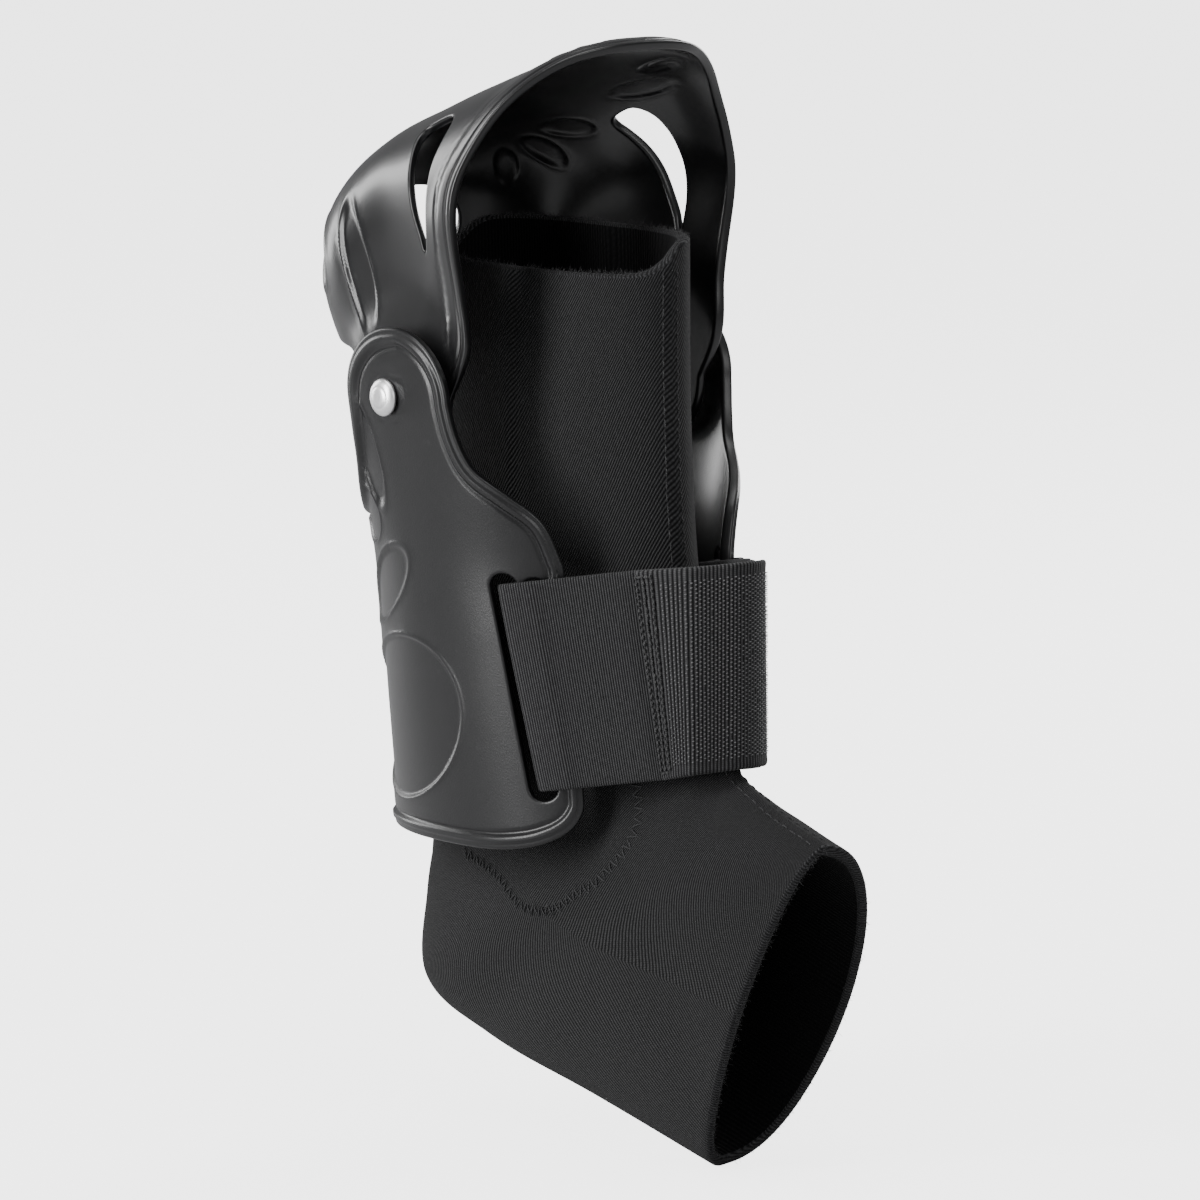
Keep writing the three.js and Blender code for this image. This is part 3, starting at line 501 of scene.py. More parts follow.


# %% [markdown]
# ## The sleeve
# The real sleeve is two flat knit-faced foam panels sewn down the shin and the heel, filled out by a leg. Cloth
# could be simulated round a leg, but the photograph shows it taut with only slight waves, so it is built as a
# tube through ten sections, with the seams pressed in, gentle waves, and soft rounded cut edges.

# %% Sleeve sizes and sections
SLEEVE_WALL = 3
LEG_HEIGHT = 151.5
LEG_DEPTH = 87
SLEEVE_HALF_WIDTH = 20
FOOT_DROP = 62
TOP_EDGE_SLANT = 4.2
TOP_EDGE_TURN = 5
SLEEVE_SECTIONS = {
    "at": (0, 1, 2, 3, 4, 5, 6, 7, 8, 9),
    "frontY": (-0.4, -0.405, -0.43, -0.5, -0.58, -0.675, -0.78, -0.87, -0.96, -1.04),
    "frontZ": (1, 0.79, 0.57, 0.4, 0.29, 0.215, 0.18, 0.157, 0.14, 0.127),
    "backY": (0.5, 0.49, 0.485, 0.5, 0.525, 0.58, 0.58, 0.33, -0.13, -0.61),
    "backZ": (1, 0.77, 0.54, 0.31, 0.1, -0.16, -0.5, -0.68, -0.83, -1),
    "near": (0.82, 0.88, 0.95, 1, 0.93, 0.9, 1, 0.95, 0.8, 0.6),
    "far": (0.86, 0.92, 1, 1.05, 0.93, 0.92, 1.1, 1.3, 1.29, 1.24),
    "nose": (2.5, 2.3, 2.1, 1.8, 1.7, 1.7, 1.9, 2, 2, 2),
    "square": (2.7, 2.7, 2.6, 2.5, 2.4, 2.3, 2.25, 2.2, 2.2, 2.2),
}
END_SECTION = SLEEVE_SECTIONS["at"][-1]


def sleeve_point(at, turn, inset):
    """at and turn are arrays of one shape; inset is the depth under the outer face."""
    def read(column):
        return follow(SLEEVE_SECTIONS, column, at)

    def height(share):
        return np.where(share > 0, share * LEG_HEIGHT, share * FOOT_DROP)

    front = np.stack([read("frontY") * LEG_DEPTH, height(read("frontZ"))], -1)
    back = np.stack([read("backY") * LEG_DEPTH, height(read("backZ"))], -1)
    middle, forward = (front + back) / 2, (front - back) / 2
    length = np.linalg.norm(forward, axis=-1)
    direction = forward / length[..., None]
    width = np.where(np.sin(turn) < 0, read("near"), read("far")) * SLEEVE_HALF_WIDTH - inset
    squareness = np.where(np.cos(turn) > 0, read("nose"), read("square"))
    across = width * squared(np.sin(turn), squareness)
    side = middle + direction * ((length - inset) * squared(np.cos(turn), squareness))[..., None]
    slant = TOP_EDGE_SLANT * np.maximum(0, 1 - at) * np.tanh(across / TOP_EDGE_TURN)
    return np.stack([across, side[..., 0], side[..., 1] + slant], -1)


# %% Waves, seam grooves and rounded edges of the sleeve
SEAM_GROOVE = 0.55
SEAM_WIDTH = 1.5
REAR_SEAM_SHARE = 0.4
# Slight folds in the cloth: a place in side view, half sizes in mm, the lean in radians and the height in mm.
WAVES = [
    {"y": -10, "z": 20, "long": 46, "short": 7, "lean": 0.5, "height": 0.7},
    {"y": -20, "z": -2, "long": 40, "short": 8, "lean": 0.35, "height": -0.6},
    {"y": 8, "z": -26, "long": 34, "short": 9, "lean": -0.6, "height": 0.6},
    {"y": -52, "z": -20, "long": 40, "short": 9, "lean": 1.25, "height": 0.5},
    {"y": -12, "z": 128, "long": 30, "short": 8, "lean": 1.4, "height": -0.5},
    {"y": 4, "z": 100, "long": 40, "short": 9, "lean": 1.5, "height": 0.5},
]


def sleeve_relief(points, turn):
    """Height of the waves and grooves over the plain tube."""
    relief = np.zeros(points.shape[:-1])
    for wave in WAVES:
        y, z = points[..., 1] - wave["y"], points[..., 2] - wave["z"]
        along = y * math.cos(wave["lean"]) + z * math.sin(wave["lean"])
        across = -y * math.sin(wave["lean"]) + z * math.cos(wave["lean"])
        relief += wave["height"] * np.exp(-((along / wave["long"]) ** 2) - (across / wave["short"]) ** 2)
    off_seam = points[..., 0] / SEAM_WIDTH
    near_front = np.cos(turn) > 0.2
    relief -= SEAM_GROOVE * np.where(near_front, 1, REAR_SEAM_SHARE) * np.exp(-off_seam ** 2)
    return relief


# %% The two faces of the sleeve
ALONG_STEPS = 180
ROUND_STEPS = 250
MIDDLE_SECTION = 4.0
# Even steps of turn bunch up on a squared section, so the steps are spaced by length round a middle section.
fine = np.linspace(0, 2 * math.pi, 4001)
travelled = length_along(sleeve_point(np.full_like(fine, MIDDLE_SECTION), fine, 0))
turns = np.interp(np.linspace(0, travelled[-1], ROUND_STEPS, endpoint=False), travelled, fine)

places = np.linspace(0, END_SECTION, ALONG_STEPS)
at, turn = np.meshgrid(places, turns, indexing="ij")


def sleeve_face(inset):
    plain = sleeve_point(at, turn, inset)
    along, around = np.gradient(plain, axis=0), (np.roll(plain, -1, 1) - np.roll(plain, 1, 1)) / 2
    normal = np.cross(around, along)
    normal /= np.maximum(np.linalg.norm(normal, axis=-1, keepdims=True), 1e-9)
    return plain + normal * sleeve_relief(plain, turn)[..., None]


outer, inner = sleeve_face(0), sleeve_face(SLEEVE_WALL)
outwards = outer[ALONG_STEPS // 2, 0] - inner[ALONG_STEPS // 2, 0]
print("sleeve wall at the front", round(float(np.linalg.norm(outwards)), 2), "mm")

# %% Rounded cut edges of the sleeve
EDGE_STEPS = 5
EDGE_BULGE = 0.55


def round_edge(outer_ring, inner_ring, next_outer):
    """Rings that carry the wall round its cut edge in a half circle."""
    beyond = outer_ring - next_outer
    beyond /= np.linalg.norm(beyond, axis=1, keepdims=True)
    middle, half = (outer_ring + inner_ring) / 2, (outer_ring - inner_ring) / 2
    bulge = np.linalg.norm(half, axis=1, keepdims=True) * EDGE_BULGE
    rings = []
    for step in range(1, EDGE_STEPS + 1):
        angle = math.pi * step / (EDGE_STEPS + 1)
        rings.append(middle + half * math.cos(angle) + beyond * bulge * math.sin(angle))
    return rings


toe_edge = round_edge(outer[-1], inner[-1], outer[-2])
leg_edge = round_edge(inner[0], outer[0], inner[1])
rings = np.array([*outer, *toe_edge, *inner[::-1], *leg_edge])
sleeve_faces = grid_faces(len(rings), ROUND_STEPS, True, True)
face_ring = sleeve_faces[:, 0] // ROUND_STEPS
# Which of the three finishes a face takes: 0 the knit, 1 the lining, 2 the cut foam.
kind = np.where(face_ring < ALONG_STEPS - 1, 0, np.where(face_ring < ALONG_STEPS + EDGE_STEPS, 2, 1))
kind = np.where(face_ring >= 2 * ALONG_STEPS + EDGE_STEPS - 1, 2, kind)
print(len(rings), "rings of", ROUND_STEPS, "points")

# %% A flat map of the sleeve: length round the tube, and length along it
ROUND_LENGTH = travelled[-1]
ALONG_LENGTH = float(np.linalg.norm(np.diff(outer.mean(1), axis=0), axis=1).sum())
inwards = np.linspace(0, 1, ALONG_STEPS)
ring_along = ALONG_LENGTH * np.concatenate([1 - inwards, np.full(EDGE_STEPS, 0.0), inwards, np.full(EDGE_STEPS, 1.0)])
ring_a, column_a = sleeve_faces[:, 0] // ROUND_STEPS, sleeve_faces[:, 0] % ROUND_STEPS
ring_b = (ring_a + 1) % len(rings)
around_a, around_b = column_a / ROUND_STEPS * ROUND_LENGTH, (column_a + 1) / ROUND_STEPS * ROUND_LENGTH
sleeve_map = np.stack([
    np.stack([around_a, ring_along[ring_a]], -1), np.stack([around_b, ring_along[ring_a]], -1),
    np.stack([around_b, ring_along[ring_b]], -1), np.stack([around_a, ring_along[ring_b]], -1),
], 1)
sleeve_finishes = [sleeve_knit, sleeve_lining, foam_edge]
sleeve = to_object("sleeve_cloth", rings.reshape(-1, 3), sleeve_faces, sleeve_finishes, kind,
                   sleeve_map.reshape(-1, 2))
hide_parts("sleeve")
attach(sleeve, "brace")

# %% [markdown]
# ## Curved mouldings from a flat pattern
# Both mouldings are thin curved sheets with a drawn outline, slots and pressed leaves. They could be boxed out
# with subdivision surfaces, but their outlines would then drift. Instead each is drawn flat, like a pattern laid
# on the surface: the outline and its holes are filled with small triangles, every point is carried onto the
# curved surface, the sheet is given its wall, and the cut edges are rolled over with a small radius. One half is
# made and then mirrored, because both plates of such a support come from one symmetrical mould.


# %% Outlines in the flat pattern
def offset_line(line, distance, start_mirror=None, end_mirror=None):
    """Moves an open or closed line to its left; an end that lies on the mirror line keeps its place along it."""
    closed = start_mirror is None
    if closed:
        padded = np.vstack([line[-1], line, line[0]])
    else:
        def reflect(point, corner, normal):
            return point - 2 * np.dot(point - corner, normal) * normal
        padded = np.vstack([reflect(line[1], line[0], start_mirror), line, reflect(line[-2], line[-1], end_mirror)])
    arriving = padded[1:-1] - padded[:-2]
    leaving = padded[2:] - padded[1:-1]
    arriving /= np.maximum(np.linalg.norm(arriving, axis=1, keepdims=True), 1e-9)
    leaving /= np.maximum(np.linalg.norm(leaving, axis=1, keepdims=True), 1e-9)
    along = arriving + leaving
    along /= np.maximum(np.linalg.norm(along, axis=1, keepdims=True), 1e-9)
    left = np.stack([-along[:, 1], along[:, 0]], 1)
    stretch = np.maximum((along * leaving).sum(1), 0.5)[:, None]
    return line + left * distance / stretch


def even_line(line, spacing, closed=False):
    """The same line with points at even spacing; corners are kept to within one step."""
    if closed:
        line = np.vstack([line, line[:1]])
    travelled = length_along(line)
    count = max(int(round(travelled[-1] / spacing)), 3)
    spots = np.linspace(0, travelled[-1], count + 1)
    made = np.stack([np.interp(spots, travelled, line[:, axis]) for axis in (0, 1)], 1)
    return made[:-1] if closed else made


def inside(polygon, points):
    """True for each point that lies inside the closed outline."""
    x, y = points[:, 0][:, None], points[:, 1][:, None]
    x1, y1 = polygon[:, 0][None], polygon[:, 1][None]
    x2, y2 = np.roll(polygon[:, 0], -1)[None], np.roll(polygon[:, 1], -1)[None]
    straddles = (y1 > y) != (y2 > y)
    safe = np.where(y2 == y1, 1e-12, y2 - y1)
    crossing = x < (x2 - x1) * (y - y1) / safe + x1
    return (np.sum(straddles & crossing, axis=1) % 2) == 1


CHUNK = 2000


def distance_to(line, points):
    """Distance of each point from an open line, worked out for a few points at a time to save memory."""
    start, run = line[None, :-1], (line[1:] - line[:-1])[None]
    best = np.empty(len(points))
    for low in range(0, len(points), CHUNK):
        chunk = points[low:low + CHUNK, None]
        share = np.clip(((chunk - start) * run).sum(-1) / np.maximum((run ** 2).sum(-1), 1e-12), 0, 1)
        best[low:low + CHUNK] = np.min(np.linalg.norm(chunk - (start + share[..., None] * run), axis=-1), axis=1)
    return best


# %% Fill a pattern with triangles, give it a wall and roll its edges
EDGE_RADIUS = 0.7
EDGE_PROFILE = [(1.0, 0.0), (0.62, 0.08), (0.29, 0.29), (0.08, 0.62), (0.0, 1.0)]
HALF_SPACING = 1.25
ROW_SPACING = 0.87
ROW_CLEARANCE = 0.27
GRID_CLEARANCE = 0.85
# Rows of points beside every cut edge, close enough to carry a crisp bead.
EDGE_ROWS = (0.35, 0.75, 1.1, 1.45, 1.8, 2.15, 2.5, 2.85, 3.2, 3.55, 4.0, 4.6)


def moulded_half(name, border_parts, holes, details, surface, wall):
    """border_parts go once round the pattern: (line, ends) for a cut edge, where ends are the normals of the
    mirror line at its two ends, and (line, None) for the mirror line itself. surface carries pattern points at
    a depth under the outer face into space, and details are lines of extra points."""
    cuts = []
    border = []
    for line, ends in border_parts:
        if ends is None:
            border.append(line)
        else:
            start = offset_line(line, EDGE_RADIUS, *ends)
            cuts.append((start, line, ends, sum(len(part) for part in border)))
            border.append(start)
    border = np.vstack(border)
    total = len(border)
    loops = [border]
    for hole in holes:
        start = offset_line(hole, EDGE_RADIUS)
        cuts.append((start, hole, (None, None), total))
        loops.append(start)
        total += len(start)
    rows = [offset_line(line, EDGE_RADIUS + inset, *ends) for _, line, ends, _ in cuts for inset in EDGE_ROWS]
    rows += details
    low, high = border.min(0), border.max(0)
    xs = np.arange(low[0], high[0], HALF_SPACING)
    ys = np.arange(low[1], high[1], HALF_SPACING * ROW_SPACING)
    gx, gy = np.meshgrid(xs, ys, indexing="ij")
    gx = gx + (np.arange(len(ys)) % 2)[None] * HALF_SPACING / 2
    grid = np.stack([gx.ravel(), gy.ravel()], 1)
    everything = np.vstack(loops)
    for index, row in enumerate([*rows, grid]):
        clearance = ROW_CLEARANCE if index < len(rows) else GRID_CLEARANCE
        good = inside(border, row)
        for hole in loops[1:]:
            good &= ~inside(hole, row)
        row = row[good]
        if not len(row):
            continue
        gap = np.empty(len(row))
        for begin in range(0, len(row), CHUNK):
            chunk = row[begin:begin + CHUNK]
            gap[begin:begin + CHUNK] = np.sqrt(((chunk[:, None] - everything[None]) ** 2).sum(-1)).min(1)
        row = row[gap > clearance]
        everything = np.vstack([everything, row])
    edges = []
    first = 0
    for loop in loops:
        edges += [(first + index, first + (index + 1) % len(loop)) for index in range(len(loop))]
        first += len(loop)
    found = delaunay_2d_cdt([Vector(point) for point in everything], edges, [], 0, 1e-6)
    flat = np.array([(point.x, point.y) for point in found[0]])
    triangles = np.array([face for face in found[2] if len(face) == 3])
    centres = flat[triangles].mean(1)
    good = inside(border, centres)
    for hole in loops[1:]:
        good &= ~inside(hole, centres)
    triangles = triangles[good]
    if len(flat) != len(everything):
        print(name, "pattern points changed from", len(everything), "to", len(flat))
    # Carry both faces onto the surface, then join them round every free edge.
    top, bottom = surface(flat, 0.0), surface(flat, wall)
    count = len(flat)
    points = [top, bottom]
    faces = [tuple(t) for t in triangles] + [tuple(t[::-1] + count) for t in triangles]
    total = 2 * count
    profile = [(out, deep * EDGE_RADIUS) for out, deep in EDGE_PROFILE[1:]]
    profile += [(out, wall - deep) for out, deep in reversed(profile)]
    for start, line, ends, first in cuts:
        own = np.arange(first, first + len(start))
        rings = [own]
        for out, depth in profile:
            rings.append(np.arange(total, total + len(line)))
            points.append(surface(offset_line(line, EDGE_RADIUS * out, *ends), depth))
            total += len(line)
        rings.append(own + count)
        steps = len(own) if ends[0] is None else len(own) - 1
        for upper, lower in zip(rings[:-1], rings[1:]):
            for index in range(steps):
                after = (index + 1) % len(own)
                faces.append((upper[after], upper[index], lower[index], lower[after]))
    outwards = np.cross(top[triangles[:, 1]] - top[triangles[:, 0]], top[triangles[:, 2]] - top[triangles[:, 0]])
    if np.sum(outwards * (top - bottom)[triangles[:, 0]]) < 0:
        faces = [face[::-1] for face in faces]
    return np.vstack(points), faces


ON_MIRROR = 0.02


def mirrored(points, faces):
    """Joins a half to its mirror image along X = 0."""
    on_line = np.abs(points[:, 0]) < ON_MIRROR
    points = points.copy()
    points[on_line, 0] = 0
    twin = np.where(on_line, np.arange(len(points)), -1)
    fresh = np.flatnonzero(~on_line)
    twin[fresh] = len(points) + np.arange(len(fresh))
    other = points[fresh] * (-1, 1, 1)
    return np.vstack([points, other]), faces + [tuple(twin[list(face)][::-1]) for face in faces]


# %% Leaves and ovals: turned ellipses that are pressed into a face
def leaf_ellipse(leaf, size):
    """A leaf drawn in side view, in shares of one size: its middle, its half sizes and its turn."""
    middle = (PIVOT_SETBACK + leaf["y"] * size, PIVOT_HEIGHT + leaf["z"] * size)
    return middle, (leaf["halfWidth"] * size, leaf["halfHeight"] * size), leaf["turn"]


def off_ellipse(x, y, middle, halves, turn):
    """Rough distance in mm outside a turned ellipse."""
    from_x, from_y = x - middle[0], y - middle[1]
    cosine, sine = math.cos(turn), math.sin(turn)
    along, across = from_x * cosine + from_y * sine, -from_x * sine + from_y * cosine
    return (np.hypot(along / halves[0], across / halves[1]) - 1) * min(halves)


def turned_ellipse(middle, halves, turn, scale, count):
    angle = np.linspace(0, 2 * math.pi, count, endpoint=False)
    along, across = np.cos(angle) * halves[0] * scale, np.sin(angle) * halves[1] * scale
    cosine, sine = math.cos(turn), math.sin(turn)
    return np.stack([middle[0] + along * cosine - across * sine, middle[1] + along * sine + across * cosine], 1)


LEAF_POINTS = 110
LEAF_ROWS = (-1.3, -0.85, -0.5, -0.2, 0.1, 0.4, 0.75, 1.2)


def leaf_lines(leaf, size):
    """Lines of points that lie a few tenths of a millimetre inside and outside the leaf's outline."""
    ellipse = leaf_ellipse(leaf, size)
    return [turned_ellipse(*ellipse, 1 + step / min(ellipse[1]), LEAF_POINTS) for step in LEAF_ROWS]


def pressed(off, depth, lip, start=-0.8, lip_middle=0.4, lip_width=0.32):
    """A recess of a depth inside an outline, with a fine raised lip just outside it."""
    return lip * ridge(off, lip_middle, lip_width) - depth * (1 - smooth_step(off, start, 0.1))


# %% [markdown]
# ## The calf shell
# One moulding, round at the back and low there, with a flap and two strap slots on each side and an arm that
# carries the rivet. Its rim is stiffened by a raised bead, and long leaves are pressed into its sides.

# %% Calf shell sizes
SHELL_WALL = 2.4
SHELL_BOTTOM = 11.5
SHELL_HALF_WIDTH = 45.3
SHELL_FRONT_DEPTH = 46
SHELL_REAR_DEPTH = 46.5
PIVOT_HEIGHT = 118
PIVOT_SETBACK = 15.5
SHELL_LEAN = 10
SHELL_TOP_ADVANCE = 2.5
ARM_FRONT = 21.5
ARM_REAR = 16
ARM_RISE = 16.7
RIVET_HOLE = 2.8
STRAP_WIDTH = 49
STRAP_BOTTOM = 26.8
STRAP_LEAN = 0.165
STRAP_MIDDLE = STRAP_BOTTOM + STRAP_WIDTH / 2
SLOT_LENGTH = 54.5
SLOT_WIDTH = 6
SLOT_SETBACK = -19.3
SECOND_SLOT_STEP = 6.5
SECOND_SLOT_WIDTH = 4.5
SHELL_SECTIONS = {
    "at": (0, 0.12, 0.35, 0.52, 0.68, 0.82, 1, 1.2),
    "width": (0.75, 0.775, 0.83, 0.865, 0.9, 0.945, 1, 1.01),
    "front": (0.95, 0.955, 0.965, 0.965, 0.955, 0.96, 1, 1.01),
    "rear": (1.01, 1, 0.96, 0.91, 0.87, 0.88, 0.98, 1.02),
    "square": (2.15, 2.15, 2.15, 2.2, 2.25, 2.5, 3, 3),
}
# Outlines in side view, as shares (y, z) of the pivot's height counted from the pivot.
SHELL_FRONT_EDGE = [
    (-0.197, -0.068), (-0.225, -0.127), (-0.286, -0.178), (-0.333, -0.229), (-0.358, -0.322),
]
SHELL_FRONT_CORNER = [
    (-0.393, -0.767), (-0.393, -0.814), (-0.37, -0.856), (-0.319, -0.884), (-0.25, -0.898),
]
SHELL_REAR_EDGE = [
    (0.136, -0.068), (0.153, -0.153), (0.203, -0.229), (0.288, -0.254),
]
SHELL_PANELS = [
    {"y": 0.055, "z": -0.66, "halfWidth": 0.216, "halfHeight": 0.162, "turn": -0.4},
    {"y": 0.086, "z": -0.392, "halfWidth": 0.124, "halfHeight": 0.054, "turn": -0.66},
    {"y": 0.135, "z": -0.254, "halfWidth": 0.06, "halfHeight": 0.058, "turn": 0.0},
    {"y": 0.084, "z": -0.123, "halfWidth": 0.039, "halfHeight": 0.108, "turn": -0.26},
]


def shell_middle(height):
    drop = (PIVOT_HEIGHT - height) / (PIVOT_HEIGHT - SHELL_BOTTOM)
    return PIVOT_SETBACK - SHELL_TOP_ADVANCE - SHELL_LEAN * drop


def shell_at(turn, height, inset):
    """turn is 0 at the middle of the back and half a circle at the front; inset may be an array."""
    share = height / PIVOT_HEIGHT
    width = follow(SHELL_SECTIONS, "width", share) * SHELL_HALF_WIDTH - inset
    square = follow(SHELL_SECTIONS, "square", share)
    rear = follow(SHELL_SECTIONS, "rear", share) * SHELL_REAR_DEPTH
    front = follow(SHELL_SECTIONS, "front", share) * SHELL_FRONT_DEPTH
    depth = np.where(np.cos(turn) > 0, rear, front) - inset
    return np.stack([
        width * squared(np.sin(turn), square),
        shell_middle(height) + depth * squared(np.cos(turn), square),
        height + np.zeros_like(turn),
    ], -1)


# %% Flat pattern of the calf shell: length round the shell against height
REFERENCE_HEIGHT = 60.0
fine = np.linspace(0, math.pi, 4001)
shell_length = length_along(shell_at(fine, np.full_like(fine, REFERENCE_HEIGHT), 0))


def shell_pattern(side_view):
    """Side view (y, z) to pattern (length round from the back, height)."""
    y, z = side_view[:, 0], side_view[:, 1]
    share = z / PIVOT_HEIGHT
    rear = follow(SHELL_SECTIONS, "rear", share) * SHELL_REAR_DEPTH
    front = follow(SHELL_SECTIONS, "front", share) * SHELL_FRONT_DEPTH
    square = follow(SHELL_SECTIONS, "square", share)
    off = y - shell_middle(z)
    part = np.clip(off / np.where(off > 0, rear, front), -1, 1)
    cosine = np.sign(part) * np.abs(part) ** (square / 2)
    return np.stack([np.interp(np.arccos(np.clip(cosine, -1, 1)), fine, shell_length), z], 1)


def ellipse_line(middle, radii, start, end, count=40):
    turn = np.linspace(start, end, count)
    return np.stack([middle[0] + radii[0] * np.cos(turn), middle[1] + radii[1] * np.sin(turn)], 1)


def from_pivot(shares, size):
    """Side-view places (y, z) from shares of a size that are counted from the pivot."""
    return np.array([(PIVOT_SETBACK + y * size, PIVOT_HEIGHT + z * size) for y, z in shares])


arm_middle = (PIVOT_SETBACK + (ARM_REAR - ARM_FRONT) / 2, PIVOT_HEIGHT)
arm_end = ellipse_line(arm_middle, ((ARM_REAR + ARM_FRONT) / 2, ARM_RISE), 0, math.pi)
front_edge = spline_through(np.vstack([arm_end[-1:], from_pivot(SHELL_FRONT_EDGE, PIVOT_HEIGHT)]), 8)
corner = from_pivot(SHELL_FRONT_CORNER, PIVOT_HEIGHT)
hem_start = np.array([[PIVOT_SETBACK - ARM_FRONT, SHELL_BOTTOM]])
corner_line = spline_through(np.vstack([corner, hem_start]), 6)
rear_rows = from_pivot(SHELL_REAR_EDGE, PIVOT_HEIGHT)[::-1]
rear_edge = spline_through(np.vstack([rear_rows, arm_end[:1]]), 8)
seen = np.vstack([arm_end, front_edge[1:], corner_line])
drawn = shell_pattern(seen)
to_back = np.array([[0.0, SHELL_BOTTOM]])
from_back = np.array([[0.0, rear_rows[0][1]]])
shell_edge = np.vstack([from_back, shell_pattern(rear_edge), drawn[1:], to_back])
EDGE_SPACING = 1.1
shell_edge = even_line(shell_edge[::-1], EDGE_SPACING)
mirror_heights = np.arange(rear_rows[0][1] - EDGE_RADIUS - 1.0, SHELL_BOTTOM + EDGE_RADIUS + 0.9, -EDGE_SPACING)
shell_mirror = np.array([[0.0, z] for z in mirror_heights])
print("calf shell outline", round(float(length_along(shell_edge)[-1])), "mm on each side")


def slot_line(setback, length, width, rise=0.0):
    half, radius = (length - width) / 2, width / 2
    top = ellipse_line((0, half), (radius, radius), 0, math.pi, 12)
    bottom = ellipse_line((0, -half), (radius, radius), math.pi, 2 * math.pi, 12)
    line = np.vstack([top, bottom])
    tilt = -math.atan(STRAP_LEAN)
    cosine, sine = math.cos(tilt), math.sin(tilt)
    turned = np.stack([line[:, 0] * cosine - line[:, 1] * sine, line[:, 0] * sine + line[:, 1] * cosine], 1)
    return turned + (setback - rise * math.sin(tilt), STRAP_MIDDLE + rise * math.cos(tilt))


def hole_line(side_view, pattern, spacing=0.8):
    """A hole's outline on the pattern, run clockwise so that its left side is the material."""
    line = even_line(pattern(side_view), spacing, closed=True)
    area = np.sum(line[:, 0] * np.roll(line[:, 1], -1) - np.roll(line[:, 0], -1) * line[:, 1])
    return line if area < 0 else line[::-1]


RIVET_HOLE_SPACING = 0.6
rivet_circle = ellipse_line((PIVOT_SETBACK, PIVOT_HEIGHT), (RIVET_HOLE, RIVET_HOLE), 0, 2 * math.pi, 32)[:-1]
# The strap hides the second slot but for its top, so only the upper part is cut.
SECOND_SLOT_LENGTH = 32
SECOND_SLOT_RISE = 10.2
shell_holes = [
    hole_line(slot_line(SLOT_SETBACK, SLOT_LENGTH, SLOT_WIDTH), shell_pattern),
    hole_line(slot_line(SLOT_SETBACK - SECOND_SLOT_STEP, SECOND_SLOT_LENGTH, SECOND_SLOT_WIDTH, SECOND_SLOT_RISE),
              shell_pattern),
    hole_line(rivet_circle, shell_pattern, RIVET_HOLE_SPACING),
]

# %% Relief of the calf shell: bead, groove, leaves and the dished ring round the rivet
BEAD_WIDTH = 2.4
BEAD_HEIGHT = 0.7
GROOVE_DEPTH = 0.4
LIP_HEIGHT = 0.2
PANEL_DEPTH = 0.6
LEAF_STOP = BEAD_WIDTH + 1.2
LEAF_LIP = 0.2
RIVET_RING, RIVET_RING_DEPTH = 6.0, 0.12
shell_details = []
for leaf in SHELL_PANELS:
    for line in map(shell_pattern, leaf_lines(leaf, PIVOT_HEIGHT)):
        shell_details.append(line[distance_to(shell_edge, line) > LEAF_STOP])


def shell_relief(pattern_points, place):
    off_edge = distance_to(shell_edge, pattern_points)
    rise = smooth_step(off_edge, BEAD_WIDTH - 1.0, BEAD_WIDTH - 0.5)
    fall = smooth_step(off_edge, BEAD_WIDTH + 0.6, BEAD_WIDTH + 1.1)
    relief = LIP_HEIGHT * (1 - fall) + (BEAD_HEIGHT - LIP_HEIGHT) * (rise - fall)
    relief -= GROOVE_DEPTH * ridge(off_edge, BEAD_WIDTH + 1.6, 0.4)
    y, z = place[:, 1], place[:, 2]
    # The leaves run out before they reach the bead, so the rim stays one clean line.
    clear_of_bead = smooth_step(off_edge, LEAF_STOP - 0.2, LEAF_STOP + 1.4)
    for leaf in SHELL_PANELS:
        relief += pressed(off_ellipse(y, z, *leaf_ellipse(leaf, PIVOT_HEIGHT)), PANEL_DEPTH, LEAF_LIP) * clear_of_bead
    off_rivet = np.hypot(y - PIVOT_SETBACK, z - PIVOT_HEIGHT)
    return relief - RIVET_RING_DEPTH * ridge(off_rivet, RIVET_RING, 0.5)


# %% Make the calf shell
def shell_surface(pattern_points, depth):
    turn = np.interp(pattern_points[:, 0], shell_length, fine)
    place = shell_at(turn, pattern_points[:, 1], 0)
    if depth > SHELL_WALL / 2:
        return shell_at(turn, pattern_points[:, 1], depth)
    return shell_at(turn, pattern_points[:, 1], depth - shell_relief(pattern_points, place))


to_side = np.array([1.0, 0.0])
shell_border = [(shell_edge, (to_side, to_side)), (shell_mirror, None)]
points, faces = moulded_half("calf_shell", shell_border, shell_holes, shell_details, shell_surface, SHELL_WALL)
points, faces = mirrored(points, faces)
calf_shell = to_object("calf_shell_moulding", points, faces, [shell_plastic])
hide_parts("calf_shell")
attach(calf_shell, "brace")

# %% [markdown]
# ## The hood
# The hood is a heel cup turned up on the rivets, with a banded rim, a crescent opening on each side and a round
# one at the back. Its pattern could be laid out by height like the shell's, but seen from the side it is a fan
# round the pivot, so it is drawn in rings round that point: a turn, and a length from the arm to the ridge.

# %% Hood sizes
HOOD_WALL = 2
HINGE_PLAY = 0.5
HOOD_FLARE = 9.5
FLARE_START = 24
FLARE_END = 60
HOOD_SQUARENESS = 2.5
HOOD_ARM_RADIUS = 17
HOOD_REACH = 84.5
HOOD_RIDGE = {
    "at": (-180, -120, -70, -26.5, -13.5, -3.5, 9.6, 24, 35, 43.5, 51, 60, 69, 77, 90, 130, 180),
    "reach": (
        0.62, 0.9, 1.08, 1.112, 0.962, 0.879, 0.818, 0.8, 0.792, 0.772, 0.728, 0.665, 0.59, 0.525, 0.46, 0.48,
        0.62,
    ),
}
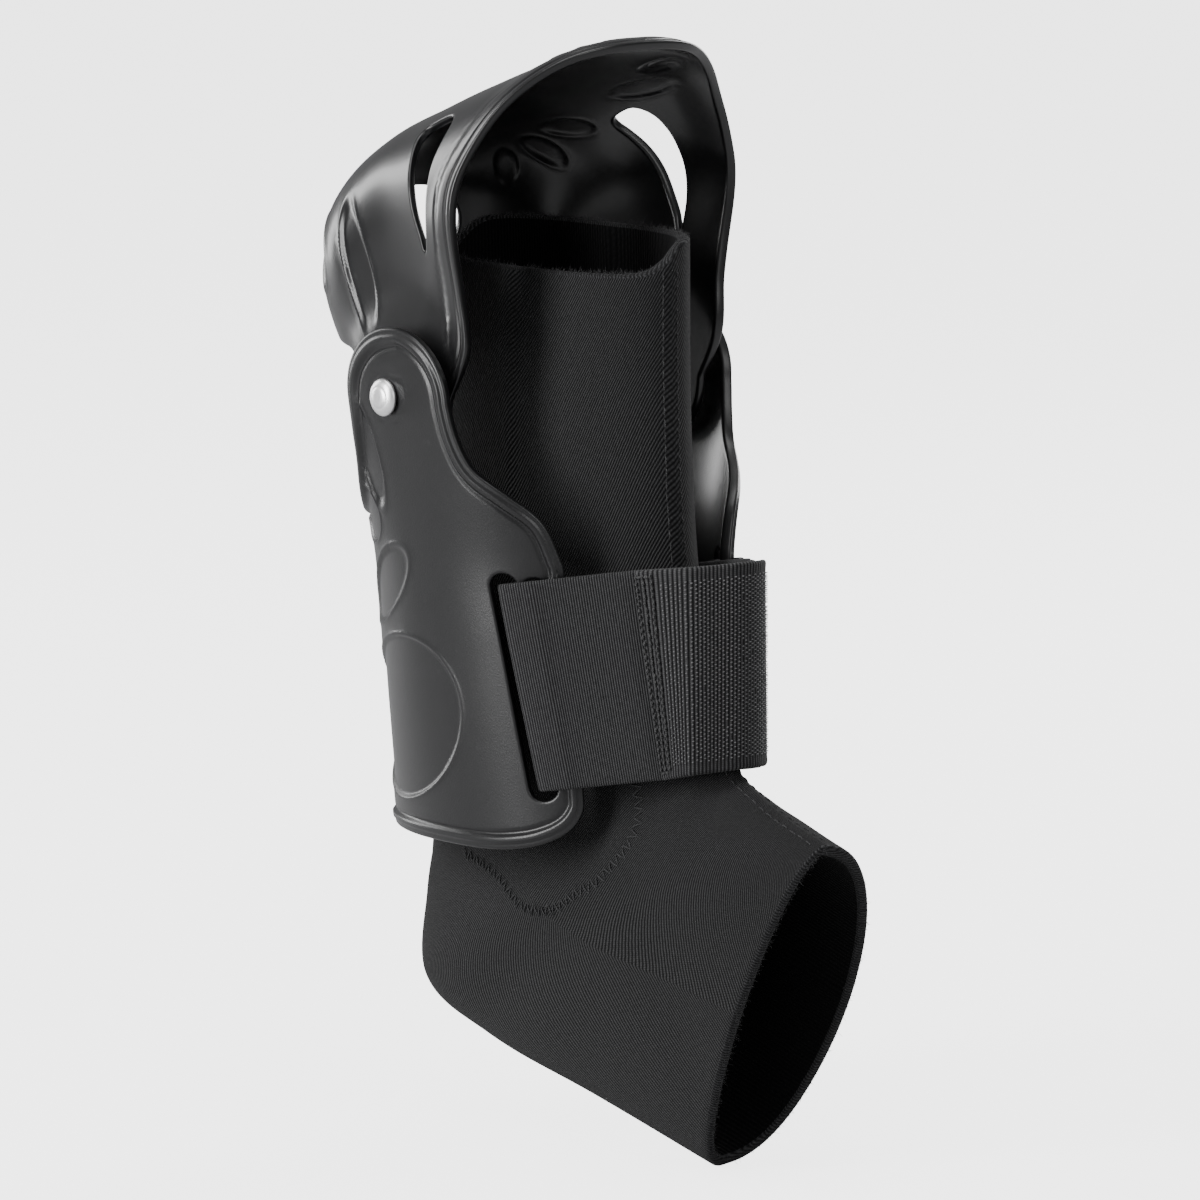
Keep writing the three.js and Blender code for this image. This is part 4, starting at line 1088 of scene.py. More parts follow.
# Outlines in side view, as shares (y, z) of the hood's reach counted from the pivot.
HOOD_RIM = [
    (-0.275, 0.142), (-0.269, 0.296), (-0.266, 0.426), (-0.272, 0.544), (-0.286, 0.639), (-0.31, 0.734),
    (-0.34, 0.817), (-0.385, 0.888), (-0.444, 0.953), (-0.515, 1),
]
HOOD_REAR_HEM = [
    (0.26, 0.095), (0.355, 0.112), (0.497, 0.118),
]
CRESCENT_FRONT = [
    (-0.104, 0.414), (-0.117, 0.497), (-0.118, 0.592), (-0.112, 0.663), (-0.107, 0.722), (-0.095, 0.763),
    (-0.065, 0.783),
]
CRESCENT_REAR = [
    (-0.024, 0.776), (0.041, 0.746), (0.053, 0.722), (0.039, 0.698), (0.006, 0.651), (-0.026, 0.592),
    (-0.057, 0.521), (-0.086, 0.462),
]
HOOD_PANELS = [
    {"y": 0.219, "z": 0.337, "halfWidth": 0.057, "halfHeight": 0.207, "turn": -0.38},
    {"y": 0.45, "z": 0.367, "halfWidth": 0.04, "halfHeight": 0.107, "turn": -0.3},
]
BACK_HOLE = {"z": 0.414, "halfWidth": 0.178, "halfHeight": 0.124}
ring_turns = np.arange(32) / 32 * 2 * math.pi
arm_ring = shell_at(ring_turns, np.full(32, float(PIVOT_HEIGHT)), SHELL_WALL)
HOOD_HALF_WIDTH = np.abs(arm_ring[np.abs(arm_ring[:, 1] - PIVOT_SETBACK) <= ARM_FRONT, 0]).min() - HINGE_PLAY
print("hood half width", round(float(HOOD_HALF_WIDTH), 2), "mm")


def ridge_at(turn):
    return follow(HOOD_RIDGE, "reach", np.degrees(turn)) * HOOD_REACH


def hood_at(turn, lift, inset):
    """turn is about the pivot, 0 straight up and growing to the back; lift is 0 on the ridge."""
    out = (ridge_at(turn) - inset) * squared(np.cos(lift), HOOD_SQUARENESS)
    flare = HOOD_FLARE * smooth_step(out, FLARE_START, FLARE_END)
    return np.stack([
        (HOOD_HALF_WIDTH + flare - inset) * squared(np.sin(lift), HOOD_SQUARENESS),
        PIVOT_SETBACK + out * np.sin(turn),
        PIVOT_HEIGHT + out * np.cos(turn),
    ], -1)


# %% Flat pattern of the hood: turn and length round the pivot
REFERENCE_TURN = 0.3
lifts = np.linspace(0, math.pi / 2, 4001)
from_ridge = length_along(hood_at(np.full_like(lifts, REFERENCE_TURN), lifts, 0))
from_arm = from_ridge[-1] - from_ridge
reference_ridge = float(ridge_at(REFERENCE_TURN))


def on_pattern(turn, lift):
    length = np.interp(lift, lifts, from_arm) * ridge_at(turn) / reference_ridge
    return np.stack([length * np.sin(turn), length * np.cos(turn)], -1)


def hood_pattern(side_view):
    y, z = side_view[:, 0] - PIVOT_SETBACK, side_view[:, 1] - PIVOT_HEIGHT
    turn, out = np.arctan2(y, z), np.hypot(y, z)
    share = np.clip(out / ridge_at(turn), 0, 1)
    return on_pattern(turn, np.arccos(np.clip(share ** (HOOD_SQUARENESS / 2), 0, 1)))


def off_pattern(pattern_points):
    turn = np.arctan2(pattern_points[:, 0], pattern_points[:, 1])
    length = np.hypot(pattern_points[:, 0], pattern_points[:, 1]) * reference_ridge / ridge_at(turn)
    return turn, np.interp(-length, -from_arm, lifts)


def up_to_ridge(side_view):
    """Cuts a side-view line where it meets the ridge, and ends it there."""
    turn = np.arctan2(side_view[:, 0] - PIVOT_SETBACK, side_view[:, 1] - PIVOT_HEIGHT)
    out = np.hypot(side_view[:, 0] - PIVOT_SETBACK, side_view[:, 1] - PIVOT_HEIGHT)
    over = np.flatnonzero(out >= ridge_at(turn))
    last = over[0] if len(over) else len(side_view)
    end_turn = turn[last - 1]
    end = ridge_at(end_turn) * np.array([np.sin(end_turn), np.cos(end_turn)]) + (PIVOT_SETBACK, PIVOT_HEIGHT)
    return np.vstack([side_view[:last], end]), end_turn


FINE_STEPS = 150
HEM_RUN_OUT = (6, 0)
arm_circle = ellipse_line((PIVOT_SETBACK, PIVOT_HEIGHT), (HOOD_ARM_RADIUS, HOOD_ARM_RADIUS), math.pi, 2 * math.pi)
rim_side = spline_through(np.vstack([arm_circle[:1], from_pivot(HOOD_RIM, HOOD_REACH)]), FINE_STEPS)
rim_side, front_turn = up_to_ridge(rim_side)
hem_points = np.vstack([arm_circle[-1:], from_pivot(HOOD_REAR_HEM, HOOD_REACH)])
hem_points = np.vstack([hem_points, hem_points[-1] + HEM_RUN_OUT])
hem_side, rear_turn = up_to_ridge(spline_through(hem_points, FINE_STEPS))
rim_line, hem_line = hood_pattern(rim_side)[::-1], hood_pattern(hem_side)
hood_edge = even_line(np.vstack([rim_line, hood_pattern(arm_circle)[1:-1], hem_line]), EDGE_SPACING)


def ridge_line(start_turn, end_turn):
    turn = np.linspace(start_turn, end_turn, 400)
    return even_line(on_pattern(turn, np.zeros_like(turn)), EDGE_SPACING)


def ridge_normal(turn):
    """The ridge is the hood's mirror line; this is the line's normal on the pattern."""
    ahead, behind = (on_pattern(np.array([turn + step]), np.zeros(1))[0] for step in (0.002, -0.002))
    along = (ahead - behind) / np.linalg.norm(ahead - behind)
    return np.array([-along[1], along[0]])


# %% The heel opening crosses the ridge, so half of its outline is one more cut edge
hole_turns = np.linspace(-math.pi / 2, math.pi / 2, 121)
hole_x = np.maximum(BACK_HOLE["halfWidth"] * HOOD_REACH * np.cos(hole_turns), 0)
hole_z = PIVOT_HEIGHT + HOOD_REACH * (BACK_HOLE["z"] + BACK_HOLE["halfHeight"] * np.sin(hole_turns))
# A point of the opening is known by its X and Z, so its turn and lift are found by closing in on them.
SOLVE_STEPS = 60
turn = np.full_like(hole_x, 0.9)
out = np.full_like(hole_x, 60.0)
for _ in range(SOLVE_STEPS):
    width = HOOD_HALF_WIDTH + HOOD_FLARE * smooth_step(out, FLARE_START, FLARE_END)
    lift = np.arcsin(np.clip(hole_x / width, 0, 1) ** (HOOD_SQUARENESS / 2))
    out = ridge_at(turn) * np.cos(lift) ** (2 / HOOD_SQUARENESS)
    turn = 0.5 * turn + 0.5 * np.arccos(np.clip((hole_z - PIVOT_HEIGHT) / out, -1, 1))
hole_edge = even_line(on_pattern(turn, lift), 0.9)
low_turn, high_turn = turn[0], turn[-1]
print("heel opening from", round(math.degrees(low_turn)), "to", round(math.degrees(high_turn)), "degrees")
hood_border = [
    (hood_edge, (ridge_normal(front_turn), ridge_normal(rear_turn))),
    (ridge_line(rear_turn, low_turn)[2:-2], None),
    (hole_edge, (ridge_normal(low_turn), ridge_normal(high_turn))),
    (ridge_line(high_turn, front_turn)[2:-2], None),
]
crescent = spline_through(from_pivot(CRESCENT_FRONT + CRESCENT_REAR, HOOD_REACH), 12, closed=True)
hood_holes = [hole_line(crescent, hood_pattern), hole_line(rivet_circle, hood_pattern, RIVET_HOLE_SPACING)]

# %% Ovals and rings pressed into the hood's inner face
# The middle and the half sizes of each, in mm on the pattern, and its turn.
INNER_OVALS = [
    ((42.0, 55.2), (7.2, 3.0), 1.87),
    ((30.0, 58.1), (7.2, 4.2), 1.2),
    ((18.0, 66.2), (7.6, 4.4), 0.15),
    ((-14.4, 79.2), (10.4, 3.9), 2.97),
    ((-28.8, 89.8), (6.8, 3.3), 2.85),
    ((-29.0, 90.4), (3.6, 1.5), 2.7),
]
OVAL_DEPTH = 0.3
OVAL_LIP = 0.12
OVAL_SCALES = (0.78, 0.9, 1.0, 1.1, 1.22)
OVAL_POINTS = 56


def oval_relief(pattern_points):
    relief = np.zeros(len(pattern_points))
    for oval in INNER_OVALS:
        off = off_ellipse(pattern_points[:, 0], pattern_points[:, 1], *oval)
        relief += pressed(off, OVAL_DEPTH, OVAL_LIP, -0.9, 0.45, 0.35)
    return relief


# %% Relief of the hood: the banded rim and the pressed leaves
BAND_WIDTH = 6.8
BAND_HEIGHT = 0.5
BAND_GROOVE, BAND_GROOVE_DEPTH = 2.3, 0.3
BAND_FOOT_DEPTH = 0.25
HOOD_LEAF_LIP = 0.18
COVERED_REACH, CLEAR_REACH = 18, 24
rim_pattern = even_line(rim_line, EDGE_SPACING)
hood_details = [hood_pattern(line) for leaf in HOOD_PANELS for line in leaf_lines(leaf, HOOD_REACH)]
# The ovals' points stay clear of the banded rim, so that they don't roughen its step.
OVAL_STOP = BAND_WIDTH + 2.0
for oval in INNER_OVALS:
    for line in [turned_ellipse(*oval, scale, OVAL_POINTS) for scale in OVAL_SCALES]:
        hood_details.append(line[distance_to(rim_pattern, line) > OVAL_STOP])


def hood_relief(pattern_points, place):
    off_rim = distance_to(rim_pattern, pattern_points)
    relief = BAND_HEIGHT * (1 - smooth_step(off_rim, BAND_WIDTH - 0.5, BAND_WIDTH + 0.5))
    relief -= BAND_GROOVE_DEPTH * ridge(off_rim, BAND_GROOVE, 0.4)
    relief -= BAND_FOOT_DEPTH * ridge(off_rim, BAND_WIDTH + 1.0, 0.5)
    y, z = place[:, 1], place[:, 2]
    for leaf in HOOD_PANELS:
        relief += pressed(off_ellipse(y, z, *leaf_ellipse(leaf, HOOD_REACH)), PANEL_DEPTH, HOOD_LEAF_LIP)
    # No relief where the arm runs inside the calf shell.
    off_pivot = np.hypot(y - PIVOT_SETBACK, z - PIVOT_HEIGHT)
    return relief * smooth_step(off_pivot, COVERED_REACH, CLEAR_REACH)


# %% Make the hood
def hood_surface(pattern_points, depth):
    turn, lift = off_pattern(pattern_points)
    place = hood_at(turn, lift, 0)
    if depth > HOOD_WALL / 2:
        return hood_at(turn, lift, depth + oval_relief(pattern_points))
    return hood_at(turn, lift, depth - hood_relief(pattern_points, place))


points, faces = moulded_half("hood", hood_border, hood_holes, hood_details, hood_surface, HOOD_WALL)
points, faces = mirrored(points, faces)
hood = to_object("hood_moulding", points, faces, [hood_plastic])
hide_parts("hood")
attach(hood, "hood")

# %% [markdown]
# ## Rivets
# Each rivet is a tube rivet with a low polished dome. It is turned like a pot: one profile carried round the
# pivot's axis, with a fine ring pressed into the dome where the setting tool left its mark.

# %% Turned rivets
RIVET_HEAD = 9
RIVET_DOME = 2
RIVET_SHANK = 5
RIVET_BRIM = 0.4
RIVET_SIDES = 72
DOME_STEPS = 26
DOME_RING, DOME_RING_DEPTH = 2.6, 0.12
DOME_DIMPLE = 0.1


def turned(name, side, seat_x, inner_x):
    """Profile points are (radius, X); the rivet runs from inner_x out to its brim at seat_x and its dome."""
    head, shank, crown = RIVET_HEAD / 2, RIVET_SHANK / 2, seat_x + RIVET_BRIM

    def dome(t):
        radius = head * math.sin(t)
        ring = DOME_RING_DEPTH * math.exp(-(((radius - DOME_RING) / 0.25) ** 2))
        return radius, crown + RIVET_DOME * math.cos(t) - ring - DOME_DIMPLE * math.exp(-((radius / 0.7) ** 2))

    profile = [dome(t) for t in np.linspace(0, math.pi / 2, DOME_STEPS)[1:]]
    profile += [(head - 0.1, seat_x), (shank, seat_x - 0.05), (shank, inner_x + 1.0)]
    profile += [(head - 0.15, inner_x + 1.0), (head, inner_x + 0.8), (head, inner_x + 0.3), (head - 0.3, inner_x)]
    angles = np.linspace(0, 2 * math.pi, RIVET_SIDES, endpoint=False)
    made = [[side * x, PIVOT_SETBACK + r * math.cos(a), PIVOT_HEIGHT + r * math.sin(a)]
            for r, x in profile for a in angles]
    turned_faces = [tuple(face) for face in grid_faces(len(profile), RIVET_SIDES, False, True)]
    top, bottom = len(made), len(made) + 1
    made += [[side * x, PIVOT_SETBACK, PIVOT_HEIGHT] for x in (crown + RIVET_DOME - DOME_DIMPLE, inner_x)]
    last = (len(profile) - 1) * RIVET_SIDES
    for index in range(RIVET_SIDES):
        after = (index + 1) % RIVET_SIDES
        turned_faces += [(top, after, index), (bottom, last + index, last + after)]
    return to_object(name, made, turned_faces, [rivet_metal])


for side, name in ((-1, "rivet_near"), (1, "rivet_far")):
    low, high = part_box(name)
    across = sorted((abs(low[0]), abs(high[0])))
    rivet = turned(name + "_head", side, across[1] / MM - RIVET_DOME - RIVET_BRIM, across[0] / MM)
    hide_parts(name)
    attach(rivet, "brace")

# %% [markdown]
# ## The strap
# One band of webbing is sewn at the far side, runs out through the far slot, round the shin, through the near
# slot and back over itself, and its end is hook tape. It is drawn in plan as one smooth curve, and given
# its thickness and rounded selvedges. A flat map in true millimetres goes with it, so the weave keeps its size.

# %% Plan of the strap
STRAP_PLAY = 0.9
WEBBING_THICK = 1.6
HOOK_TAPE_THICK = 1.8
SEAT_GAP = 0.3
FOLD_ADVANCE = 0.5
FLAP_EDGE = -29.9
NOSE_MIDDLE = -44
NOSE_HALF_WIDTH = 14.9
NOSE_REACH = 17.5
SEWN_END, WEBBING_END = 72, 50
HOOK_TAPE_START, HOOK_TAPE_END = 81, -46
NOSE_ENTRY = 84
STEP_DOWN, SAMPLE_TURN = 25, 12
STRAP_OFFSET = STRAP_PLAY + WEBBING_THICK / 2
LAYER_STEP = WEBBING_THICK + SEAT_GAP


def shell_across(y, height, inset):
    """Half the shell's width at a place in side view."""
    at_height = height / PIVOT_HEIGHT
    behind = y > shell_middle(height)
    depth = np.where(behind, follow(SHELL_SECTIONS, "rear", at_height) * SHELL_REAR_DEPTH,
                     follow(SHELL_SECTIONS, "front", at_height) * SHELL_FRONT_DEPTH) - inset
    power = follow(SHELL_SECTIONS, "square", at_height)
    share = np.clip(np.abs(y - shell_middle(height)) / depth, 0, 1)
    width = follow(SHELL_SECTIONS, "width", at_height) * SHELL_HALF_WIDTH - inset
    return width * (1 - share ** power) ** (1 / power)


def on_plate(side, y, inset):
    return (side * float(shell_across(np.float64(y), np.float64(STRAP_MIDDLE), inset)), y)


def round_nose(side, from_turn, to_turn, count, depth=0.0):
    turns_round = np.radians(np.linspace(from_turn, to_turn, count))
    return [(side * (NOSE_HALF_WIDTH - depth) * math.sin(t), NOSE_MIDDLE - (NOSE_REACH - depth) * math.cos(t))
            for t in turns_round]


def round_fold(side):
    bar = SLOT_SETBACK - SLOT_WIDTH / 2 + FOLD_ADVANCE
    radius = SHELL_WALL / 2 + STRAP_OFFSET
    return [on_plate(side, bar + radius * math.cos(t), SHELL_WALL / 2 - radius * math.sin(t))
            for t in np.radians((-90, -45, 0, 45, 90))]


def beside_plate(side, inset):
    return [on_plate(side, FLAP_EDGE + (SLOT_SETBACK - FLAP_EDGE) / 3, inset), on_plate(side, FLAP_EDGE, inset)]


over_bead, under_wall = -BEAD_HEIGHT - STRAP_OFFSET, SHELL_WALL + STRAP_OFFSET
webbing_plan = [
    *round_nose(1, SEWN_END, NOSE_ENTRY, 3),
    *beside_plate(1, over_bead)[::-1],
    *round_fold(1)[::-1],
    *beside_plate(1, under_wall),
    *round_nose(1, NOSE_ENTRY, -NOSE_ENTRY, 15, LAYER_STEP),
    *beside_plate(-1, under_wall)[::-1],
    *round_fold(-1),
    *beside_plate(-1, over_bead),
    *round_nose(-1, NOSE_ENTRY, WEBBING_END, 4),
]
over = -(WEBBING_THICK + HOOK_TAPE_THICK) / 2 - SEAT_GAP
past = (WEBBING_THICK - HOOK_TAPE_THICK) / 2
tape_plan = [
    *round_nose(-1, HOOK_TAPE_START, WEBBING_END - SAMPLE_TURN / 3, 5, over),
    *round_nose(-1, WEBBING_END - STEP_DOWN, HOOK_TAPE_END, 8, past),
]


def on_strap(plan, rise):
    """plan is an array of x, y; rise is the height over the strap's middle line."""
    wide = shell_across(SLOT_SETBACK + STRAP_LEAN * rise, STRAP_MIDDLE + rise, 0)
    taper = wide / shell_across(np.float64(SLOT_SETBACK), np.float64(STRAP_MIDDLE), 0)
    behind_nose = smooth_step(plan[..., 1], NOSE_MIDDLE - NOSE_REACH, NOSE_MIDDLE)
    return np.stack([
        plan[..., 0] * (1 + (taper - 1) * behind_nose),
        plan[..., 1] + STRAP_LEAN * behind_nose * rise,
        STRAP_MIDDLE + rise - STRAP_LEAN * (plan[..., 1] - SLOT_SETBACK),
    ], -1)


# %% A ribbon with rounded selvedges
ACROSS_STEPS = 41
SELVEDGE_STEPS = 7


def strap_line(plan, spacing=0.7):
    return even_line(spline_through(plan, 24), spacing)


def ribbon_frame(line):
    """The outward direction at each point of a line in plan."""
    along = np.gradient(line, axis=0)
    along /= np.linalg.norm(along, axis=1, keepdims=True)
    return np.stack([along[:, 1], -along[:, 0]], 1)


def ribbon(name, line, thickness, material, swell, corner=0.0):
    """swell is the extra height of the outer face and the heights between which it dies away, and corner the
    radius that rounds the corners of the far end."""
    out, travelled = ribbon_frame(line), length_along(line)
    half = thickness / 2
    flat_half = STRAP_WIDTH / 2 - half
    across = np.linspace(-flat_half, flat_half, ACROSS_STEPS)
    bends = np.linspace(0, math.pi, SELVEDGE_STEPS)[1:-1]
    cross = [(rise, half) for rise in across]
    cross += [(flat_half + half * math.sin(t), half * math.cos(t)) for t in bends]
    cross += [(rise, -half) for rise in across[::-1]]
    cross += [(-flat_half - half * math.sin(t), -half * math.cos(t)) for t in bends]
    cross = np.array(cross)
    outer_side = cross[:, 1] >= half - 1e-6
    proud, fade_start, fade_end = swell
    rings_made, map_made = [], []
    for index, spot in enumerate(travelled):
        from_end = travelled[-1] - spot
        shrink = 0.0
        if from_end < corner:
            shrink = corner - math.sqrt(max(corner ** 2 - (corner - from_end) ** 2, 0))
        from_tip = min(spot, from_end)
        squeeze = math.sqrt(max(1 - (1 - from_tip / half) ** 2, 0.02)) if from_tip < half else 1.0
        rise = cross[:, 0] * (STRAP_WIDTH / 2 - shrink) / (STRAP_WIDTH / 2)
        swollen = proud * (1 - smooth_step(np.abs(rise), fade_start, fade_end))
        depth = cross[:, 1] * squeeze + swollen * outer_side * squeeze
        rings_made.append(on_strap(line[index] + out[index] * depth[:, None], rise))
        map_made.append(np.stack([np.full(len(rise), spot), rise], -1))
    count = len(cross)
    last = (len(line) - 1) * count
    faces_made = [tuple(face[::-1]) for face in grid_faces(len(line), count, False, True)]
    faces_made += [tuple(range(count)), tuple(last + index for index in reversed(range(count)))]
    flat_map = np.array(map_made).reshape(-1, 2)
    return to_object(name, np.array(rings_made).reshape(-1, 3), faces_made, [material], uv=flat_map)


# %% Make the webbing and the hook tape
# The webbing's ribs stand proud between its plain selvedges, and the tape's face is sunk between its own.
WEBBING_SWELL = (0.08, 21.2, 22.2)
TAPE_SWELL = (-0.12, 22.0, 23.0)
TAPE_CORNER = 2.2
TAPE_PRESS = 0.1
webbing_line, tape_line = strap_line(webbing_plan), strap_line(tape_plan)
tape_travel, tape_out = length_along(tape_line), ribbon_frame(tape_line)
strap = ribbon("strap_band", webbing_line, WEBBING_THICK, webbing_cloth, WEBBING_SWELL)
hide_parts("strap_webbing")
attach(strap, "brace")
tape = ribbon("hook_tape_band", tape_line, HOOK_TAPE_THICK - TAPE_PRESS, hook_cloth, TAPE_SWELL, TAPE_CORNER)
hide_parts("strap_hook_tape")
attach(tape, "brace")
print("webbing", round(float(length_along(webbing_line)[-1]), 1), "mm")
print("hook tape", round(float(tape_travel[-1]), 1), "mm")

# %% [markdown]
# ## Hooks and stitches
# The hook tape's face is a field of tiny stiff hooks, and the strap and the sleeve are sewn with heavy thread.
# Both could be a bump in the cloth's material, but from here each still reads as its own point of light, so both
# are modelled: a hook is a bent stub, and a stitch a short plump thread that dips into the cloth at both ends.

# %% Many small bodies in one mesh
ASIDE = np.array([0.31, 0.52, 0.79])


def many_tubes(name, paths, radius, sides, material, ends=0.35):
    """Each path is a row of points; the tube narrows at both ends to a share of its radius."""
    vertices, tube_faces = [], []
    angles = [2 * math.pi * corner / sides for corner in range(sides)]
    for path in paths:
        path = np.asarray(path, float)
        count = len(path)
        tangent = np.gradient(path, axis=0)
        tangent /= np.maximum(np.linalg.norm(tangent, axis=1, keepdims=True), 1e-9)
        first = np.cross(tangent, ASIDE)
        first /= np.maximum(np.linalg.norm(first, axis=1, keepdims=True), 1e-9)
        second = np.cross(tangent, first)
        start = len(vertices)
        for index in range(count):
            width = radius * (ends + (1 - ends) * math.sin(math.pi * index / (count - 1)) ** 0.5)
            for angle in angles:
                spoke = first[index] * math.cos(angle) + second[index] * math.sin(angle)
                vertices.append(path[index] + width * spoke)
        for ring in range(count - 1):
            for corner in range(sides):
                a, b = (start + ring * sides + spot for spot in (corner, (corner + 1) % sides))
                tube_faces.append((a, b, b + sides, a + sides))
        tube_faces.append(tuple(start + corner for corner in reversed(range(sides))))
        tube_faces.append(tuple(start + (count - 1) * sides + corner for corner in range(sides)))
    made = to_object(name, vertices, tube_faces, [material])
    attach(made, "brace")


def on_tape(along, rise, height):
    """A point at a flat-map place over the hook tape's middle."""
    place, facing = (np.array([np.interp(along, tape_travel, line[:, axis]) for axis in (0, 1)]).T
                     for line in (tape_line, tape_out))
    return on_strap(place + facing * np.asarray(height)[..., None], rise)


# %% The field of hooks
HOOK_PITCH = 0.98
HOOK_ROW = 0.94
HOOK_RADIUS = 0.17
FIELD_HALF = 21.4
FIELD_START, FIELD_MARGIN = 5.6, 1.6
MISSING_SHARE = 0.02
TAPE_FACE = HOOK_TAPE_THICK / 2
chance = np.random.default_rng(7)
hook_columns = [FIELD_START]
while hook_columns[-1] + HOOK_ROW < tape_travel[-1] - FIELD_MARGIN:
    hook_columns.append(hook_columns[-1] + HOOK_ROW)
hooks = []
steps = np.linspace(0, 1, 5)
for column, along in enumerate(hook_columns):
    for rise in np.arange(-FIELD_HALF, FIELD_HALF + 0.1, HOOK_PITCH) + (column % 2) * HOOK_PITCH / 2:
        if abs(rise) > FIELD_HALF + 0.2 or chance.random() < MISSING_SHARE:
            continue
        sway = chance.uniform(-0.09, 0.09, 2)
        lift = chance.uniform(0.48, 0.58)
        # A hook leans along the tape and curls back towards it.
        hooks.append(on_tape(along + sway[0] + 0.3 * steps ** 2, rise + sway[1] + 0.1 * steps,
                             TAPE_FACE - 0.3 + lift * np.sin(steps * 2.3)))
many_tubes("hook_field", hooks, HOOK_RADIUS, 4, hook_thread)
print(len(hooks), "hooks")

# %% The box stitch that holds the hook tape: three rows across it, and a short row along each selvedge
STITCH_LENGTH = 1.15
STITCH_GAP = 0.4
STITCH_ROWS = (0.7, 2.3, 3.9)
STITCH_HALF = 22.6
SELVEDGE_ROW = 22.9
BOX_THREAD_RADIUS = 0.34
STITCH_STEPS = 6
box_stitches = []
steps = np.linspace(0, 1, STITCH_STEPS)
for row_along in STITCH_ROWS:
    for rise in np.arange(-STITCH_HALF, STITCH_HALF, STITCH_LENGTH + STITCH_GAP):
        path_along = np.full(STITCH_STEPS, row_along) + chance.uniform(-0.12, 0.12)
        box_stitches.append(on_tape(path_along, rise + steps * STITCH_LENGTH,
                                    TAPE_FACE - 0.05 + 0.35 * np.sin(steps * math.pi)))
for rise in (-SELVEDGE_ROW, SELVEDGE_ROW):
    for start_along in np.arange(0.8, 3.4, STITCH_LENGTH + STITCH_GAP):
        box_stitches.append(on_tape(start_along + steps * STITCH_LENGTH, np.full(STITCH_STEPS, rise),
                                    TAPE_FACE - 0.12 + 0.3 * np.sin(steps * math.pi)))
many_tubes("box_stitch", box_stitches, BOX_THREAD_RADIUS, 6, strap_thread)
print(len(box_stitches), "box stitches")

# %% Places on the sleeve's outer face
STITCH_DIP = 0.12
sleeve_tree = BVHTree.FromPolygons(
    [Vector(point) for point in outer.reshape(-1, 3)],
    [tuple(map(int, face)) for face in grid_faces(ALONG_STEPS, ROUND_STEPS, False, True)],
)


def on_sleeve(origin, direction):
    """The first place on the outer face along a ray, with the face's own normal turned towards the ray."""
    place, normal, _, _ = sleeve_tree.ray_cast(Vector(origin), Vector(direction))
    if place is None:
        return None
    if normal.dot(Vector(direction)) > 0:
        normal = -normal
    return np.array(place), np.array(normal)


def sewn_thread(start, end, lift):
    """A stitch between two places (point, normal) on the cloth, arched out over it."""
    steps = np.linspace(0, 1, STITCH_STEPS)[:, None]
    straight = start[0] + (end[0] - start[0]) * steps
    facing = start[1] + (end[1] - start[1]) * steps
    return straight + facing * (lift * np.sin(steps * math.pi) - STITCH_DIP)


# %% Double rows of stitches down the shin and the instep
SHIN_ROWS = (-2.1, 2.1)
SHIN_STITCH = 2.3
SHIN_GAP = 0.6
SHIN_LIFT = 0.3
SHIN_START, SHIN_MARGIN = 2.5, 4
front_line = outer[:, 0]
front_steps = length_along(front_line)


def on_front(spot):
    """A place at a length down the front of the sleeve, which is the first column of its points."""
    return np.array([np.interp(spot, front_steps, front_line[:, axis]) for axis in range(3)])


sleeve_stitches = []
for row in SHIN_ROWS:
    for begin in np.arange(SHIN_START, front_steps[-1] - SHIN_MARGIN, SHIN_STITCH + SHIN_GAP):
        ends = []
        for spot in (begin, begin + SHIN_STITCH):
            centre = on_front(spot)
            facing = np.cross([1.0, 0, 0], on_front(spot + 1) - centre)
            facing /= np.linalg.norm(facing)
            if facing[1] > 0:
                facing = -facing
            shift = np.array([row + chance.uniform(-0.1, 0.1), 0, 0])
            ends.append(on_sleeve(centre + facing * 12 + shift, -facing))
        if None not in ends:
            sleeve_stitches.append(sewn_thread(*ends, SHIN_LIFT))
print(len(sleeve_stitches), "stitches down the front")

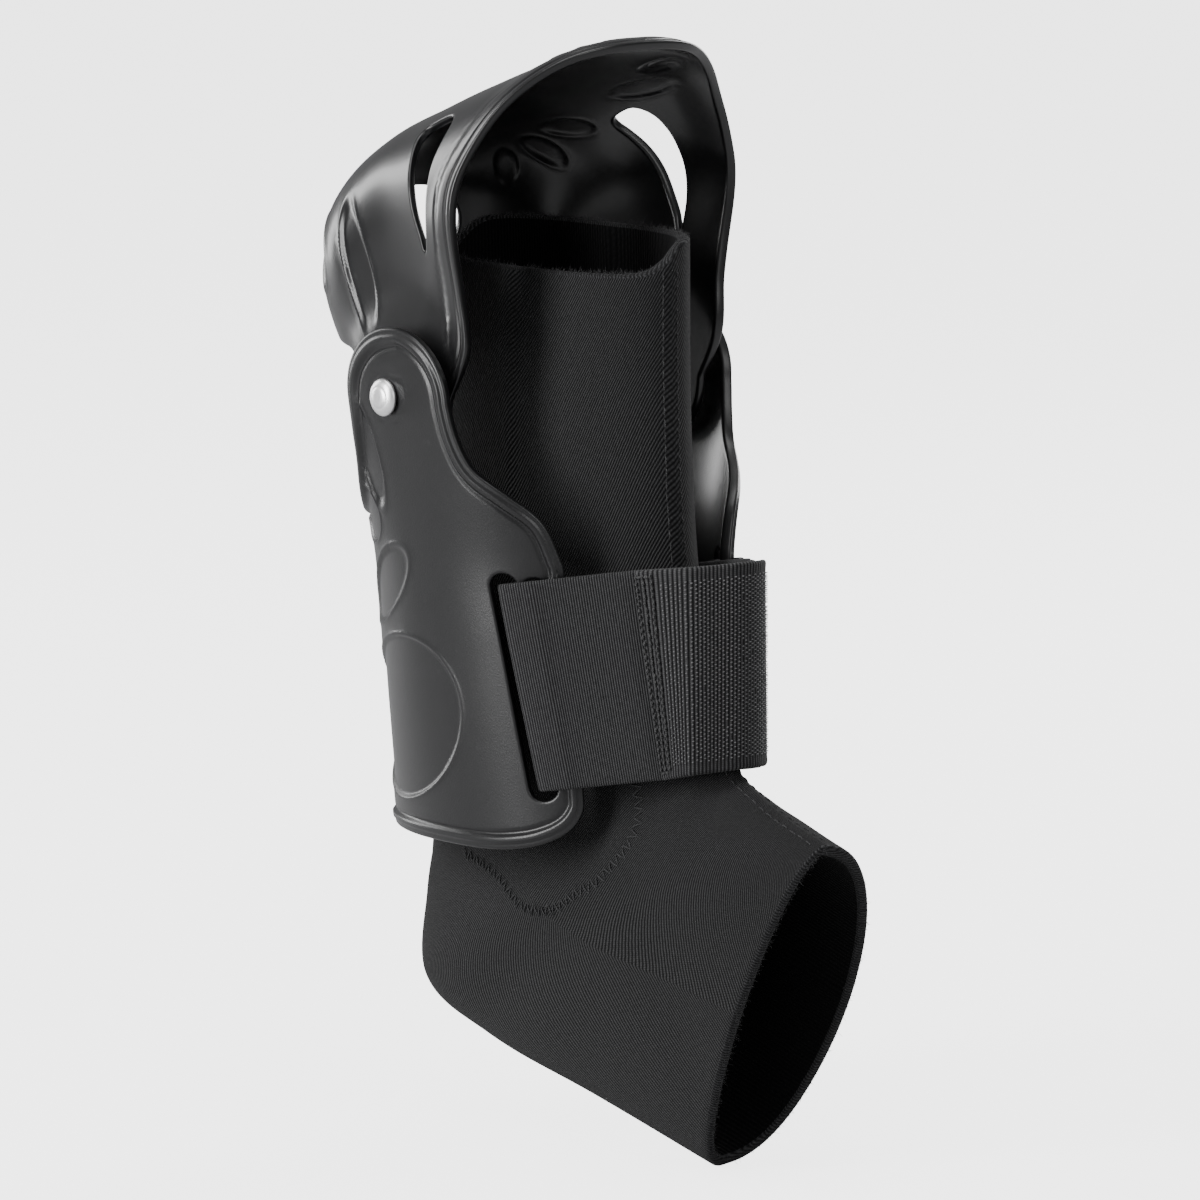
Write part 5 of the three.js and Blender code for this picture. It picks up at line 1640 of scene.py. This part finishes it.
# %% The zigzag seam that closes the heel pad on each side
ZIGZAG_TEETH = 1.35
ZIGZAG_HALF = 1.7
SLEEVE_THREAD_RADIUS = 0.2
# Places (y, z) of the seam in side view, in mm.
HEEL_SEAM = [
    [21.4, 4.9], [14.0, 3.8], [5.5, 1.1], [0.0, -2.1], [-6.0, -4.4], [-16.3, -3.3], [-24.5, 1.7],
    [-30.0, 4.7], [-33.0, 7.7], [-36.7, 11.7], [-39.4, 15.7], [-39.7, 20.4], [-38.6, 24.0], [-36.5, 30.0],
]
ZIGZAG_LIFT = 0.4
CLEAR_OF_SLEEVE = 80
zigzag = even_line(spline_through(HEEL_SEAM, 20), ZIGZAG_TEETH)
beside = -ribbon_frame(zigzag)
beside[::2] *= -1
corners = zigzag + beside * ZIGZAG_HALF
for side in (-1, 1):
    places_sewn = [on_sleeve((side * CLEAR_OF_SLEEVE, y, z), (-side, 0, 0)) for y, z in corners]
    for start_place, end_place in zip(places_sewn[:-1], places_sewn[1:]):
        if start_place is not None and end_place is not None:
            sleeve_stitches.append(sewn_thread(start_place, end_place, ZIGZAG_LIFT))
many_tubes("sleeve_stitches", sleeve_stitches, SLEEVE_THREAD_RADIUS, 6, thread)
print(len(sleeve_stitches), "sleeve stitches")

# %% Loose fibres on the sleeve's cut edges
FIBRES_PER_EDGE = 1500
FIBRE_RADIUS = 0.045
FIBRE_LENGTHS = (0.25, 0.75)
fibres = []
steps = np.linspace(0, 1, 4)[:, None]
for edge_rings in (leg_edge, toe_edge):
    for _ in range(FIBRES_PER_EDGE):
        ring = edge_rings[chance.integers(1, EDGE_STEPS)]
        spot = chance.integers(0, ROUND_STEPS)
        root = ring[spot]
        away = edge_rings[EDGE_STEPS // 2][spot] - (edge_rings[0][spot] + edge_rings[-1][spot]) / 2
        away = away / max(np.linalg.norm(away), 1e-6) + chance.normal(0, 0.55, 3)
        length = chance.uniform(*FIBRE_LENGTHS)
        bend = chance.normal(0, 0.35, 3)
        fibres.append(root + away * length * steps + bend * length * steps ** 2)
many_tubes("sleeve_fibres", fibres, FIBRE_RADIUS, 3, thread, ends=0.5)
